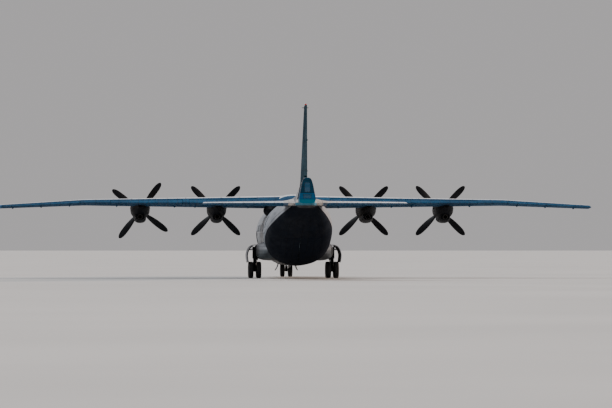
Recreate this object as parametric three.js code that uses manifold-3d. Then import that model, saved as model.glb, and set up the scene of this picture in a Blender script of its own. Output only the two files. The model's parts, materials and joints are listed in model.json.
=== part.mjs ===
// Four-engine turboprop transport aeroplane: high wing, upswept tail, parked on its wheels.
// Millimetres. +X starboard, +Y forward, +Z up, the ground at z = 0, the origin midway along the body.
// A station is a distance aft of the nose tip.
import * as THREE from 'three';
import { mergeVertices } from 'three/addons/utils/BufferGeometryUtils.js';
import Module from 'manifold-3d';

const wasm = await Module();
wasm.setup();

// Driving dimensions
const LENGTH = 33100;
const HALF_SPAN = 19000;
const HEIGHT = 10530;
const SEAT = 0.3; // gap where two pieces touch
const SEAM = 12; // gap round a door
const FLAP_SEAM = 20; // gap at the ends of a flap, which swings across a slanted line
const GLASS = 18;
const BODY_SIDES = 24;
const FAR = 40000; // reach of a cutting block

// Stations where the body panels meet
const NOSE_JOINT = 1400;
const COCKPIT_JOINT = 5300;
const FORWARD_JOINT = 10400;
const CENTRE_JOINT = 18600;
const TAIL_JOINT = 31300;

// Body cross-sections. Squareness 2 is an ellipse; narrow thins the top and widens the foot.
const BODY_ROWS = [
  // station, halfWidth, bottom, top, middle, lowSquare, highSquare, narrow, wall
  [0, 260, 2080, 2640, 2350, 2, 2, 0, 60],
  [140, 620, 1740, 2960, 2350, 2, 2, 0, 60],
  [450, 980, 1440, 3220, 2340, 2, 2, 0, 60],
  [1050, 1330, 1190, 3420, 2400, 2, 2, 0, 60],
  [1900, 1620, 1010, 3660, 2500, 2, 2, 0, 110],
  [2900, 1840, 880, 4430, 2650, 2, 2, 0, 120],
  [3900, 1980, 820, 4780, 2780, 2, 2, 0, 130],
  [5300, 2050, 800, 4900, 2850, 2, 2, 0, 150],
  [18600, 2050, 800, 4900, 2850, 2, 2, 0, 150],
  [19700, 2050, 850, 4900, 2860, 2.4, 2, 0, 130],
  [20800, 2050, 1110, 4900, 2900, 2.8, 2, 0, 120],
  [23000, 2020, 1790, 4900, 3100, 3, 2, 0, 110],
  [25500, 1830, 2565, 4920, 3550, 3, 2, 0, 100],
  [28200, 1300, 3402, 5080, 4150, 2.9, 2, 0.18, 90],
  [30000, 800, 3940, 5560, 4500, 2.8, 1.8, 0.38, 80],
  [31300, 540, 4300, 6020, 4950, 3.2, 2.8, 0.4, 70],
  [32400, 450, 4460, 6100, 5150, 3.8, 4, 0.36, 60],
  [33100, 410, 4560, 6060, 5200, 3.8, 4, 0.36, 60],
].map(([station, halfWidth, bottom, top, middle, lowSquare, highSquare, narrow, wall]) => (
  { station, halfWidth, bottom, top, middle, lowSquare, highSquare, narrow, wall }));

// Wing, flat out to the joint of the outer panel and drooping beyond it
const WING = {
  plane: 4800,
  rootLead: 11600,
  trail: 16330,
  rootChord: 4730,
  tipChord: 1690,
  innerJoint: 6900,
  outerJoint: 13400,
  droop: 0.0495,
  rootThick: 0.18,
  tipThick: 0.14,
  above: 1.16,
  below: 0.84,
};
const FLAP_INNER = [2350, 6700];
const FLAP_OUTER = [7100, 11700];
const AILERON = [13600, 18500];
const FLAP_LINE = 0.72; // share of chord ahead of the hinge line
const PIN_RADIUS = 25;
const PIN_SIDES = 8;
const PIN_REACH = 150; // how far a hinge pin runs inside its surface

const TAILPLANE = {
  plane: 4585,
  halfSpan: 6100,
  rootLead: 28300,
  tipLead: 29550,
  rootChord: 3000,
  tipChord: 1400,
  thick: 0.12,
};
const ELEVATOR = [1350, 5850];
const ELEVATOR_LINE = 0.64;

const FIN = {
  foot: 4850,
  top: 10430,
  footLead: 25700,
  topLead: 30250,
  footTrail: 32450,
  topTrail: 32050,
  footThick: 400,
  topThick: 160,
};
const RUDDER = [6210, 10330];
const RUDDER_LINE_FOOT = 30950; // stations of the rudder hinge
const RUDDER_LINE_TOP = 31350;

// Engines
const THRUST_LINE = 4360;
const PROP_RADIUS = 2250;
const SHAFT_RADIUS = 120;
const SHAFT_SIDES = 12;
const ENGINES = [
  // name, x, propeller station, nacelle length, propeller turn in degrees
  ['outer_left', -9800, 10400, 4880, 37],
  ['inner_left', -4850, 9300, 5650, 45],
  ['inner_right', 4850, 9300, 5650, 45],
  ['outer_right', 9800, 10400, 4880, 45],
].map(([name, x, station, length, turn]) => ({ name, x, station, length, turn }));

// Landing gear
const MAIN = {
  x: 2480,
  station: 14600,
  axleSpacing: 1230,
  tyreRadius: 525,
  tyreWidth: 300,
  twin: 500,
  axle: 60,
  wellRoof: 2050,
  wellHalf: 1250,
};
const NOSE = {
  station: 4100,
  tyreRadius: 450,
  tyreWidth: 300,
  twin: 520,
  axle: 45,
  bayHalf: 550,
  bayFront: 3450,
  bayBack: 4980,
  bayRoof: 1400,
};

// Doors
const CREW_DOOR = { front: 5900, back: 6760, sill: 1620, head: 2980 };
const HATCH = { front: 20850, middle: 25200, back: 28000, halfWide: 1250, halfNarrow: 950, centre: 20 };

const FLOOR_TOP = 1550;
const FLOOR_THICK = 80;
const FLOOR_HALF = 1390;
const DECK_TOP = 2650;
const NAVIGATOR_FLOOR = 1700;

// Materials
const paint = (color, roughness, metalness) => (
  new THREE.MeshStandardMaterial({ color, roughness, metalness }));
const SKIN = paint(0x9a9da1, 0.45, 0.3);
const WING_SKIN = paint(0x8b939b, 0.45, 0.3);
const DARK = paint(0x2b3036, 0.5, 0.4);
const GEAR = paint(0x8d9092, 0.4, 0.5);
const TYRE = paint(0x17181a, 0.9, 0);
const CLEAR = paint(0x2b4655, 0.1, 0);
const CABIN = paint(0x59635e, 0.8, 0);
const RADOME = paint(0x3d4146, 0.6, 0);
const BEACON = paint(0xb01a12, 0.3, 0);

const y = (station) => LENGTH / 2 - station;
const mix = (a, b, t) => a + (b - a) * t;
const boreRadius = (radius, sides) => (radius + SEAT) / Math.cos(Math.PI / sides);

function solid(geometry) {
  const bare = geometry.index ? geometry.toNonIndexed() : geometry.clone();
  bare.deleteAttribute('normal');
  bare.deleteAttribute('uv');
  const merged = mergeVertices(bare, 1e-3);
  return new wasm.Manifold(new wasm.Mesh({
    numProp: 3,
    vertProperties: new Float32Array(merged.attributes.position.array),
    triVerts: new Uint32Array(merged.index.array),
  }));
}

function mirrored(shape) {
  const mesh = shape.getMesh();
  const points = new Float32Array(mesh.vertProperties);
  const triangles = new Uint32Array(mesh.triVerts);
  for (let i = 0; i < points.length; i += 3) {
    points[i] = -points[i];
  }
  for (let i = 0; i < triangles.length; i += 3) {
    const first = triangles[i];
    triangles[i] = triangles[i + 1];
    triangles[i + 1] = first;
  }
  return new wasm.Manifold(new wasm.Mesh({ numProp: 3, vertProperties: points, triVerts: triangles }));
}

// A skin over rings of equal count, each ring [[x, y, z], ...], closed with a fan at both ends.
// The diagonals of its quads mirror each other on the two sides of x = 0.
function loft(rings) {
  const count = rings[0].length;
  const points = rings.flat();
  const faces = [];
  for (let r = 0; r + 1 < rings.length; r += 1) {
    for (let i = 0; i < count; i += 1) {
      const a = r * count + i;
      const b = r * count + ((i + 1) % count);
      if (points[a][0] + points[b + count][0] >= 0) {
        faces.push([a, b, b + count], [a, b + count, a + count]);
      } else {
        faces.push([a, b, a + count], [b, b + count, a + count]);
      }
    }
  }
  const last = (rings.length - 1) * count;
  const middles = [rings[0], rings[rings.length - 1]].map((ring) => (
    [0, 1, 2].map((axis) => ring.reduce((sum, point) => sum + point[axis], 0) / count)));
  const first = points.length;
  points.push(...middles);
  for (let i = 0; i < count; i += 1) {
    const next = (i + 1) % count;
    faces.push([first, next, i], [first + 1, last + i, last + next]);
  }
  const geometry = new THREE.BufferGeometry();
  geometry.setAttribute('position', new THREE.Float32BufferAttribute(points.flat(), 3));
  geometry.setIndex(faces.flat());
  const shape = solid(geometry);
  return shape.volume() > 0 ? shape : solid(flipped(geometry));
}

function flipped(geometry) {
  const index = Array.from(geometry.index.array);
  for (let i = 0; i < index.length; i += 3) {
    [index[i], index[i + 1]] = [index[i + 1], index[i]];
  }
  geometry.setIndex(index);
  return geometry;
}

// A block between two corners, given as x, y, z.
function block(low, high) {
  const size = [0, 1, 2].map((axis) => high[axis] - low[axis]);
  const geometry = new THREE.BoxGeometry(...size);
  geometry.translate(low[0] + size[0] / 2, low[1] + size[1] / 2, low[2] + size[2] / 2);
  return solid(geometry);
}

// Everything between two stations.
const slab = (front, back) => block([-FAR, y(back), -FAR], [FAR, y(front), FAR]);

// A vertical prism over a plan outline of [x, station].
function planPrism(outline, low = -FAR, high = FAR) {
  return loft([low, high].map((z) => outline.map(([x, station]) => [x, y(station), z])));
}

function rod(from, to, radius, sides = 16) {
  const start = new THREE.Vector3(...from);
  const end = new THREE.Vector3(...to);
  const along = end.clone().sub(start);
  const geometry = new THREE.CylinderGeometry(radius, radius, along.length(), sides);
  geometry.applyQuaternion(new THREE.Quaternion().setFromUnitVectors(
    new THREE.Vector3(0, 1, 0), along.clone().normalize()));
  const centre = start.add(end).multiplyScalar(0.5);
  geometry.translate(centre.x, centre.y, centre.z);
  return solid(geometry);
}

const joined = (shapes) => shapes.reduce((whole, shape) => whole.add(shape));
const cutBy = (shape, cutters) => cutters.reduce((rest, cutter) => rest.subtract(cutter), shape);

// Body
const signedPower = (value, power) => Math.sign(value) * Math.abs(value) ** power;

// The point of a body section at an angle, 0 to starboard and 90 degrees up.
function bodyPoint(row, degrees, inset, reach = 1) {
  const angle = THREE.MathUtils.degToRad(degrees);
  const square = Math.sin(angle) < 0 ? row.lowSquare : row.highSquare;
  const rise = signedPower(Math.sin(angle), 2 / square);
  const across = signedPower(Math.cos(angle), 2 / square) * (1 - row.narrow * rise);
  const height = rise < 0 ? row.middle - row.bottom - inset : row.top - row.middle - inset;
  return [
    across * (row.halfWidth - inset) * reach,
    y(row.station),
    row.middle + rise * height * reach,
  ];
}

function bodyRing(row, inset, sides) {
  return Array.from({ length: sides }, (_, i) => bodyPoint(row, (360 * i) / sides, inset));
}

// The whole body drawn in from its skin by a share of its wall and an extra inset.
function bodySolid(wallShare, extra, sides = BODY_SIDES) {
  const rings = BODY_ROWS.map((row, i) => {
    const inset = row.wall * wallShare + extra;
    let station = row.station;
    station += i === 0 ? inset : 0;
    station -= i === BODY_ROWS.length - 1 ? inset : 0;
    return bodyRing({ ...row, station }, inset, sides);
  });
  return loft(rings);
}

function bodyRowAt(station) {
  const next = Math.max(1, BODY_ROWS.findIndex((row) => row.station >= station));
  const before = BODY_ROWS[next - 1];
  const after = BODY_ROWS[next];
  const t = (station - before.station) / (after.station - before.station);
  const keys = Object.keys(before);
  return Object.fromEntries(keys.map((key) => [key, mix(before[key], after[key], t)]));
}

// A cutter through the skin between two angles and two stations.
function paneCutter(front, back, from, to) {
  const steps = 3;
  const angles = Array.from({ length: steps + 1 }, (_, i) => mix(from, to, i / steps));
  return loft([front, back].map((station) => {
    const row = bodyRowAt(station);
    const outer = angles.map((angle) => bodyPoint(row, angle, 0, 1.3));
    const inner = angles.map((angle) => bodyPoint(row, angle, 0, 0.6)).reverse();
    return [...outer, ...inner];
  }));
}

const bodyOuter = bodySolid(0, 0);
const bodyRoom = bodySolid(1, 0);
const bodySeat = bodySolid(0, -SEAT);
const bodyLining = bodySolid(1, SEAT);
const bodyWall = bodyOuter.subtract(bodyRoom);
const GLASS_SIDES = BODY_SIDES / 2; // a coarser ring with its corners on the seat of the frame
const glassWall = bodySolid(1, SEAT, GLASS_SIDES).subtract(bodySolid(1, GLASS, GLASS_SIDES));

// Wing-like surfaces: chord shares and the half thickness of a common section
const CHORD_SHARES = [0, 0.015, 0.06, 0.15, 0.3, 0.45, 0.6, 0.72, 0.86, 1];
const TRAIL_EDGE = 8;

function halfThickness(share, thick) {
  const curve = 0.2969 * Math.sqrt(share) - 0.126 * share - 0.3516 * share ** 2
    + 0.2843 * share ** 3 - 0.1036 * share ** 4;
  return Math.max(0, 5 * thick * curve);
}

// The outline of a section as [distance aft, height]: over the top from nose to tail and back below.
function sectionOutline(chord, thick, above, below, grow) {
  const top = CHORD_SHARES.map((share) => (
    [share * chord, above * chord * halfThickness(share, thick) + TRAIL_EDGE * share + grow]));
  const foot = CHORD_SHARES.map((share) => (
    [share * chord, -below * chord * halfThickness(share, thick) - TRAIL_EDGE * share - grow]));
  top[0][0] -= grow;
  top[top.length - 1][0] += grow;
  foot[foot.length - 1][0] += grow;
  return [[top[0][0], 0], ...top.slice(1), ...foot.slice(1).reverse()];
}

// Wing
const wingLead = (x) => mix(WING.rootLead, WING.trail - WING.tipChord, Math.abs(x) / HALF_SPAN);
const wingChord = (x) => WING.trail - wingLead(x);
const wingThick = (x) => mix(WING.rootThick, WING.tipThick, Math.abs(x) / HALF_SPAN);
const wingPlane = (x) => WING.plane - Math.max(0, Math.abs(x) - WING.outerJoint) * WING.droop;

function wingRing(x, grow = 0) {
  const outline = sectionOutline(wingChord(x), wingThick(x), WING.above, WING.below, grow);
  return outline.map(([aft, height]) => [x, y(wingLead(x) + aft), wingPlane(x) + height]);
}

const wingPart = (stations, grow = 0) => loft(stations.map((x) => wingRing(x, grow)));

// A moving surface with a round nose on its hinge line, from two end sections.
// Each end holds a hinge point, the nose radius, and the tail point with its half height.
function flapSolid(ends, place) {
  const noseSteps = 6;
  return loft(ends.map((end) => {
    const ring = [];
    for (let i = 0; i <= noseSteps; i += 1) {
      const angle = Math.PI * (0.5 + i / noseSteps);
      ring.push(place(end, Math.cos(angle) * end.nose, Math.sin(angle) * end.nose));
    }
    ring.push(place(end, end.chord, -TRAIL_EDGE));
    ring.push(place(end, end.chord, TRAIL_EDGE));
    return ring;
  }));
}

// A stub pin on a hinge line, from inside the surface out to the wall beside it.
function hingePin(from, to, radius) {
  const start = new THREE.Vector3(...from);
  const end = new THREE.Vector3(...to);
  const line = end.clone().sub(start).normalize();
  const wallAxis = Math.abs(line.x) > Math.abs(line.z) ? line.x : line.z;
  const lean = Math.sqrt(1 - wallAxis ** 2) / Math.abs(wallAxis);
  const tip = end.addScaledVector(line, -SEAT - radius * lean);
  return rod(from, tip.toArray(), radius, PIN_SIDES);
}

// The hinge point of a wing surface at a spanwise place, and its nose radius there.
function wingHinge(x) {
  const chord = wingChord(x);
  const half = chord * halfThickness(FLAP_LINE, wingThick(x));
  return {
    x,
    station: wingLead(x) + FLAP_LINE * chord,
    z: wingPlane(x) + (half * (WING.above - WING.below)) / 2,
    nose: half * ((WING.above + WING.below) / 2) + TRAIL_EDGE * FLAP_LINE,
    chord: chord * (1 - FLAP_LINE),
  };
}

const wingFlap = ([inner, outer]) => flapSolid(
  [wingHinge(inner + FLAP_SEAM), wingHinge(outer - FLAP_SEAM)],
  (end, aft, height) => [end.x, y(end.station + aft), end.z + height - Math.max(0, aft) / end.chord
    * (end.z - wingPlane(end.x))],
);

// What leaves the wing to make room for a flap: everything aft of a line just ahead of its nose.
const wingNotch = ([inner, outer]) => planPrism([
  [inner, wingHinge(inner).station - wingHinge(inner).nose - SEAM],
  [outer, wingHinge(outer).station - wingHinge(outer).nose - SEAM],
  [outer, WING.trail + 500],
  [inner, WING.trail + 500],
]);

const wingPoint = (x) => [x, y(wingHinge(x).station), wingHinge(x).z];

// The two pins of a surface that turns on its own nose, from a function that gives a point of the hinge line.
function hingePins([inner, outer], point) {
  return [
    hingePin(point(inner + PIN_REACH), point(inner), PIN_RADIUS),
    hingePin(point(outer - PIN_REACH), point(outer), PIN_RADIUS),
  ];
}

// Rests on the wing ahead of a flap, where its tracks let it in against its nose.
function flapRests([inner, outer]) {
  const half = 40;
  return [mix(inner, outer, 0.15), mix(inner, outer, 0.85)].map((x) => {
    const tip = Math.min(...[x - half, x + half].map((at) => wingHinge(at).station - wingHinge(at).nose));
    const { z } = wingHinge(x);
    return block([x - half, y(tip - SEAT), z - 25], [x + half, y(tip - 60), z + 25]);
  });
}

const flapInnerRight = wingFlap(FLAP_INNER);
const flapOuterRight = wingFlap(FLAP_OUTER);
const aileronRight = joined([wingFlap(AILERON), ...hingePins(AILERON, wingPoint)]);
const wingCentreWhole = wingPart([-WING.innerJoint, 0, WING.innerJoint]);
const wingCentreSeat = wingPart([-WING.innerJoint, 0, WING.innerJoint], SEAT);
const innerNotch = wingNotch(FLAP_INNER);
const innerRests = joined(flapRests(FLAP_INNER));
const wingCentre = joined([
  cutBy(wingCentreWhole, [innerNotch, mirrored(innerNotch)]),
  innerRests,
  mirrored(innerRests),
]);
const wingMiddle = joined([
  wingPart([WING.innerJoint + SEAT, WING.outerJoint - SEAT]).subtract(wingNotch(FLAP_OUTER)),
  ...flapRests(FLAP_OUTER),
]);
const wingOuter = wingPart([WING.outerJoint + SEAT, HALF_SPAN - 500, HALF_SPAN - 120]).add(
  wingTip()).subtract(wingNotch(AILERON));

// The rounded end of the wing: the last section shrinks towards the tip.
function wingTip() {
  const base = HALF_SPAN - 120;
  const shrink = [[0, 1], [0.7, 0.8], [1, 0.35]];
  return loft(shrink.map(([out, scale]) => wingRing(base).map(([, ringY, z]) => [
    base + out * 120,
    mix(y(WING.trail - WING.tipChord / 2), ringY, mix(1, scale, 0.3)),
    mix(wingPlane(base), z, scale),
  ])));
}

// Hump over the wing root, from the cabin roof to the crest of the wing
const HUMP_ROWS = [
  // station, half width, top
  [10500, 500, 4930],
  [11500, 1000, 5160],
  [12900, 1250, 5370],
  [14200, 1250, 5340],
  [16000, 1100, 5190],
  [17400, 800, 5050],
  [18500, 450, 4930],
];

function humpSolid() {
  const foot = 4500;
  return loft(HUMP_ROWS.map(([station, half, top]) => {
    const arc = Array.from({ length: 13 }, (_, i) => Math.PI * (i / 12));
    return arc.map((angle) => [
      half * Math.cos(angle),
      y(station),
      foot + (top - foot) * Math.sin(angle) ** 0.7,
    ]);
  }));
}

const wingHump = cutBy(humpSolid(), [bodySeat, wingCentreSeat]);

// Tailplane and elevators
const tailLead = (x) => mix(TAILPLANE.rootLead, TAILPLANE.tipLead, x / TAILPLANE.halfSpan);
const tailChord = (x) => mix(TAILPLANE.rootChord, TAILPLANE.tipChord, x / TAILPLANE.halfSpan);

function tailRing(x, scale = 1) {
  const outline = sectionOutline(tailChord(x), TAILPLANE.thick, 1, 1, 0);
  return outline.map(([aft, height]) => [x, y(tailLead(x) + aft), TAILPLANE.plane + height * scale]);
}

function tailHinge(x) {
  return {
    x,
    station: tailLead(x) + ELEVATOR_LINE * tailChord(x),
    nose: tailChord(x) * halfThickness(ELEVATOR_LINE, TAILPLANE.thick) + TRAIL_EDGE * ELEVATOR_LINE,
    chord: tailChord(x) * (1 - ELEVATOR_LINE),
  };
}

const elevatorPoint = (x) => [x, y(tailHinge(x).station), TAILPLANE.plane];
const elevatorRight = joined([
  flapSolid(
    ELEVATOR.map((x, i) => tailHinge(x + (i ? -SEAM : SEAM))),
    (end, aft, height) => [end.x, y(end.station + aft), TAILPLANE.plane + height],
  ),
  ...hingePins(ELEVATOR, elevatorPoint),
]);
const elevatorNotch = planPrism([
  ...ELEVATOR.map((x) => [x, tailHinge(x).station - tailHinge(x).nose - SEAM]),
  [ELEVATOR[1], 32500],
  [ELEVATOR[0], 32500],
]);
const tailplaneRight = cutBy(
  loft([tailRing(200), tailRing(TAILPLANE.halfSpan - 100), tailRing(TAILPLANE.halfSpan, 0.4)]),
  [bodySeat, elevatorNotch],
);

// Fin and rudder
const finShare = (z) => (z - FIN.foot) / (FIN.top - FIN.foot);
const finLead = (z) => mix(FIN.footLead, FIN.topLead, finShare(z));
const finTrail = (z) => mix(FIN.footTrail, FIN.topTrail, finShare(z));
const finThick = (z) => mix(FIN.footThick, FIN.topThick, finShare(z));

function finRing(z, lead = finLead(z), scale = 1) {
  const chord = finTrail(z) - lead;
  const outline = sectionOutline(chord, (finThick(z) / chord) * scale, 1, 1, 0);
  return outline.map(([aft, across]) => [across, y(lead + aft), z]);
}

function rudderHinge(z) {
  const station = mix(RUDDER_LINE_FOOT, RUDDER_LINE_TOP, (z - RUDDER[0]) / (RUDDER[1] - RUDDER[0]));
  const chord = finTrail(z) - finLead(z);
  const share = (station - finLead(z)) / chord;
  return {
    z,
    station,
    nose: chord * halfThickness(share, finThick(z) / chord) + TRAIL_EDGE * share,
    chord: finTrail(z) - station,
  };
}

const rudderPoint = (z) => [0, y(rudderHinge(z).station), z];
const rudder = joined([
  flapSolid(
    [rudderHinge(RUDDER[0] + SEAM), rudderHinge(RUDDER[1] - SEAM)],
    (end, aft, across) => [across, y(end.station + aft), end.z],
  ),
  ...hingePins(RUDDER, rudderPoint),
]);

// A side-view prism between two planes of x, from an outline of [station, z].
function sidePrism(outline, half) {
  return loft([-half, half].map((x) => outline.map(([station, z]) => [x, y(station), z])));
}

const rudderNotch = sidePrism([
  [rudderHinge(RUDDER[0]).station - rudderHinge(RUDDER[0]).nose - SEAM, RUDDER[0]],
  [33500, RUDDER[0]],
  [33500, RUDDER[1]],
  [rudderHinge(RUDDER[1]).station - rudderHinge(RUDDER[1]).nose - SEAM, RUDDER[1]],
], 1000);
const FILLET_LEAD = 23000;
const FILLET_TOP = 6000;
const finWhole = joined([
  loft([finRing(FIN.foot), finRing(FIN.top - 60), finRing(FIN.top, finLead(FIN.top) + 120, 0.6)]),
  loft([finRing(4700, FILLET_LEAD), finRing(FILLET_TOP, finLead(FILLET_TOP) + 80)]),
]);
const tailCabinRoom = block([-900, y(34000), 4000], [900, y(31000), RUDDER[0]]);
const fin = cutBy(finWhole, [bodySeat, rudderNotch, tailCabinRoom]);

// Engine pods
const POD_ROWS = [
  // share of length, half width, bottom, top (heights from the thrust line)
  [0.03, 420, -430, 420],
  [0.08, 520, -520, 500],
  [0.22, 610, -550, 590],
  [0.45, 625, -545, 640],
  [0.66, 560, -480, 650],
  [0.86, 380, -150, 620],
  [1, 150, 150, 560],
];
const CHIN_ROWS = [
  // share of length, half width, bottom, top
  [0.07, 250, -640, -200],
  [0.16, 370, -790, -200],
  [0.4, 390, -830, -200],
  [0.62, 370, -800, -200],
  [0.76, 300, -640, -200],
];

function podLoft(engine, rows) {
  const sides = 12;
  return loft(rows.map(([share, half, bottom, top]) => Array.from({ length: sides }, (_, i) => {
    const angle = (2 * Math.PI * i) / sides;
    return [
      engine.x + half * signedPower(Math.cos(angle), 0.85),
      y(engine.station + share * engine.length),
      THRUST_LINE + (bottom + top) / 2 + ((top - bottom) / 2) * signedPower(Math.sin(angle), 0.85),
    ];
  })));
}

const wingSeat = joined([
  wingCentreSeat,
  wingPart([WING.innerJoint, WING.outerJoint], SEAT),
  mirrored(wingPart([WING.innerJoint, WING.outerJoint], SEAT)),
]);

function nacelle(engine) {
  const front = engine.station + POD_ROWS[0][0] * engine.length;
  const shaftBore = rod(
    [engine.x, y(front + 260), THRUST_LINE],
    [engine.x, y(front - 200), THRUST_LINE],
    boreRadius(SHAFT_RADIUS, SHAFT_SIDES), SHAFT_SIDES);
  const intake = cutBy(
    rod([engine.x, y(front + 120), THRUST_LINE], [engine.x, y(front - 10), THRUST_LINE], 400, 24),
    [rod([engine.x, y(front + 140), THRUST_LINE], [engine.x, y(front - 40), THRUST_LINE], 320, 24)]);
  const coolerFront = engine.station + CHIN_ROWS[0][0] * engine.length;
  const cooler = block(
    [engine.x - 170, y(coolerFront + 350), THRUST_LINE - 600],
    [engine.x + 170, y(coolerFront - 100), THRUST_LINE - 490]);
  const exhaustBack = engine.station + CHIN_ROWS[CHIN_ROWS.length - 1][0] * engine.length;
  const exhaust = rod(
    [engine.x, y(exhaustBack - 450), THRUST_LINE - 440],
    [engine.x, y(exhaustBack + 100), THRUST_LINE - 440], 150, 16);
  return cutBy(podLoft(engine, POD_ROWS).add(podLoft(engine, CHIN_ROWS)), [
    wingSeat, shaftBore, intake, cooler, exhaust]);
}

// Propellers
const SPINNER = [
  // radius, distance ahead of the propeller plane
  [SHAFT_RADIUS * 1.35, -125],
  [340, -125],
  [360, 0],
  [330, 220],
  [220, 460],
  [100, 590],
  [0, 625],
];
const BLADE_ROWS = [
  // radius, chord, thickness, pitch in degrees
  [240, 190, 150, 60],
  [480, 260, 100, 52],
  [850, 390, 66, 40],
  [1350, 450, 44, 30],
  [1800, 420, 30, 24],
  [2080, 310, 22, 21],
  [2200, 180, 14, 20],
  [PROP_RADIUS, 50, 10, 20],
];

function bladeSolid() {
  const lens = [[-0.5, 0], [-0.2, 0.45], [0.25, 0.4], [0.5, 0], [0.25, -0.4], [-0.2, -0.45]];
  return loft(BLADE_ROWS.map(([radius, chord, thick, pitch]) => {
    const turn = THREE.MathUtils.degToRad(pitch);
    return lens.map(([across, through]) => [
      across * chord * Math.cos(turn) - through * thick * Math.sin(turn),
      across * chord * Math.sin(turn) + through * thick * Math.cos(turn),
      radius,
    ]);
  }));
}

function propeller(engine) {
  const back = SEAT - POD_ROWS[0][0] * engine.length; // the shaft's shoulder, against the face of the pod
  const shaft = [[0, back - 200], [SHAFT_RADIUS, back - 200], [SHAFT_RADIUS, back], [SPINNER[0][0], back]];
  const profile = [...shaft, ...SPINNER].map(([radius, ahead]) => new THREE.Vector2(radius, ahead));
  const hub = solid(new THREE.LatheGeometry(profile, SHAFT_SIDES));
  const blade = bladeSolid();
  const blades = [0, 1, 2, 3].map((i) => turned(blade, engine.turn + 90 * i));
  return moved(joined([hub, ...blades]), [engine.x, y(engine.station), THRUST_LINE]);
}

function asGeometry(shape) {
  const mesh = shape.getMesh();
  const geometry = new THREE.BufferGeometry();
  geometry.setAttribute('position', new THREE.BufferAttribute(new Float32Array(mesh.vertProperties), 3));
  geometry.setIndex(new THREE.BufferAttribute(new Uint32Array(mesh.triVerts), 1));
  return geometry;
}

const turned = (shape, degrees) => solid(asGeometry(shape).rotateY(THREE.MathUtils.degToRad(degrees)));

function moved(shape, offset) {
  return solid(asGeometry(shape).translate(...offset));
}

const WHEEL_SIDES = 16;
const BEAM_HALF = 85; // half width of the beam between twin wheels, which their collars meet

// Twin wheels on one axle, turned about x
function twinWheels({ tyreRadius, tyreWidth, twin, axle }) {
  const middle = twin / 2;
  const half = tyreWidth / 2;
  const rim = tyreRadius * 0.52;
  const side = [
    [axle, BEAM_HALF + SEAT],
    [axle * 1.2, BEAM_HALF + SEAT],
    [rim, middle - half],
    [tyreRadius * 0.86, middle - half],
    [tyreRadius, middle - half * 0.5],
    [tyreRadius, middle + half * 0.5],
    [tyreRadius * 0.86, middle + half],
    [rim, middle + half],
    [rim * 0.85, middle + half * 0.5],
    [axle * 1.4, middle + half * 0.9],
    [0, middle + half * 0.9],
  ];
  const other = side.map(([radius, along]) => [radius, -along]).reverse();
  const profile = [...other, ...side].map(([radius, along]) => new THREE.Vector2(radius, along));
  const geometry = new THREE.LatheGeometry(profile, WHEEL_SIDES);
  geometry.rotateZ(-Math.PI / 2);
  return solid(geometry);
}

// Main gear: leg, beam and braces for the starboard side
function mainLeg() {
  const { x, station, axleSpacing, tyreRadius, axle, wellRoof } = MAIN;
  const legTop = [x - 280, y(station), wellRoof + 40];
  const legFoot = [x, y(station), 640];
  const beamEnd = axleSpacing / 2 + 110;
  const parts = [
    rod(legTop, [x - 90, y(station), 1180], 105, 16),
    rod([x - 130, y(station), 1340], legFoot, 75, 12),
    block([x - BEAM_HALF, y(station + beamEnd), 440], [x + BEAM_HALF, y(station - beamEnd), 600]),
    block([x - 80, y(station + 130), 560], [x + 80, y(station - 130), 760]),
    block([x - 460, y(station + 240), wellRoof - 60], [x - 110, y(station - 240), wellRoof + 20]),
    rod([x - 110, y(station), 1250], [x - 280, y(station - 950), wellRoof + 40], 42, 8),
    rod([x - 110, y(station), 1250], [x - 280, y(station + 950), wellRoof + 40], 42, 8),
    rod([x - 60, y(station - 90), 1180], [x, y(station - 320), 560], 30, 8),
  ];
  const bores = [-1, 1].map((sign) => rod(
    [x - 200, y(station + (sign * axleSpacing) / 2), tyreRadius],
    [x + 200, y(station + (sign * axleSpacing) / 2), tyreRadius],
    boreRadius(axle, WHEEL_SIDES), WHEEL_SIDES));
  const roof = block([0, -FAR, wellRoof - SEAT], [FAR, FAR, FAR]);
  return cutBy(joined(parts), [...bores, roof]);
}

// Sponson beside the belly, open at its outboard side and below where the wheels fold in
const SPONSON_ROWS = [
  // station, outer x, bottom, top
  [11300, 1780, 1500, 1950],
  [12200, 2230, 1230, 2240],
  [13150, 2450, 1120, 2350],
  [16250, 2450, 1120, 2350],
  [17300, 2250, 1230, 2220],
  [18450, 1800, 1500, 1920],
];
const SPONSON_CENTRE = 1300;

function sponsonLoft(grow) {
  const sides = 24;
  return loft(SPONSON_ROWS.map(([station, outer, bottom, top]) => Array.from({ length: sides }, (_, i) => {
    const angle = (2 * Math.PI * i) / sides;
    return [
      SPONSON_CENTRE + (outer + grow - SPONSON_CENTRE) * signedPower(Math.cos(angle), 0.67),
      y(station),
      (bottom + top) / 2 + ((top - bottom) / 2 + grow) * signedPower(Math.sin(angle), 0.67),
    ];
  })));
}

const wheelWell = block(
  [1650, y(MAIN.station + MAIN.wellHalf), 0], [FAR, y(MAIN.station - MAIN.wellHalf), MAIN.wellRoof]);
const sponson = cutBy(sponsonLoft(0), [bodySeat, wheelWell]);

// The outboard gear door hangs open in a curve; its outline is [x, z] seen from behind.
const GEAR_DOOR_LINE = [
  [2260, 2110],
  [2480, 2140],
  [2760, 2050],
  [2950, 1800],
  [3030, 1450],
  [2975, 1000],
];
const GEAR_DOOR_THICK = 40;

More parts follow.
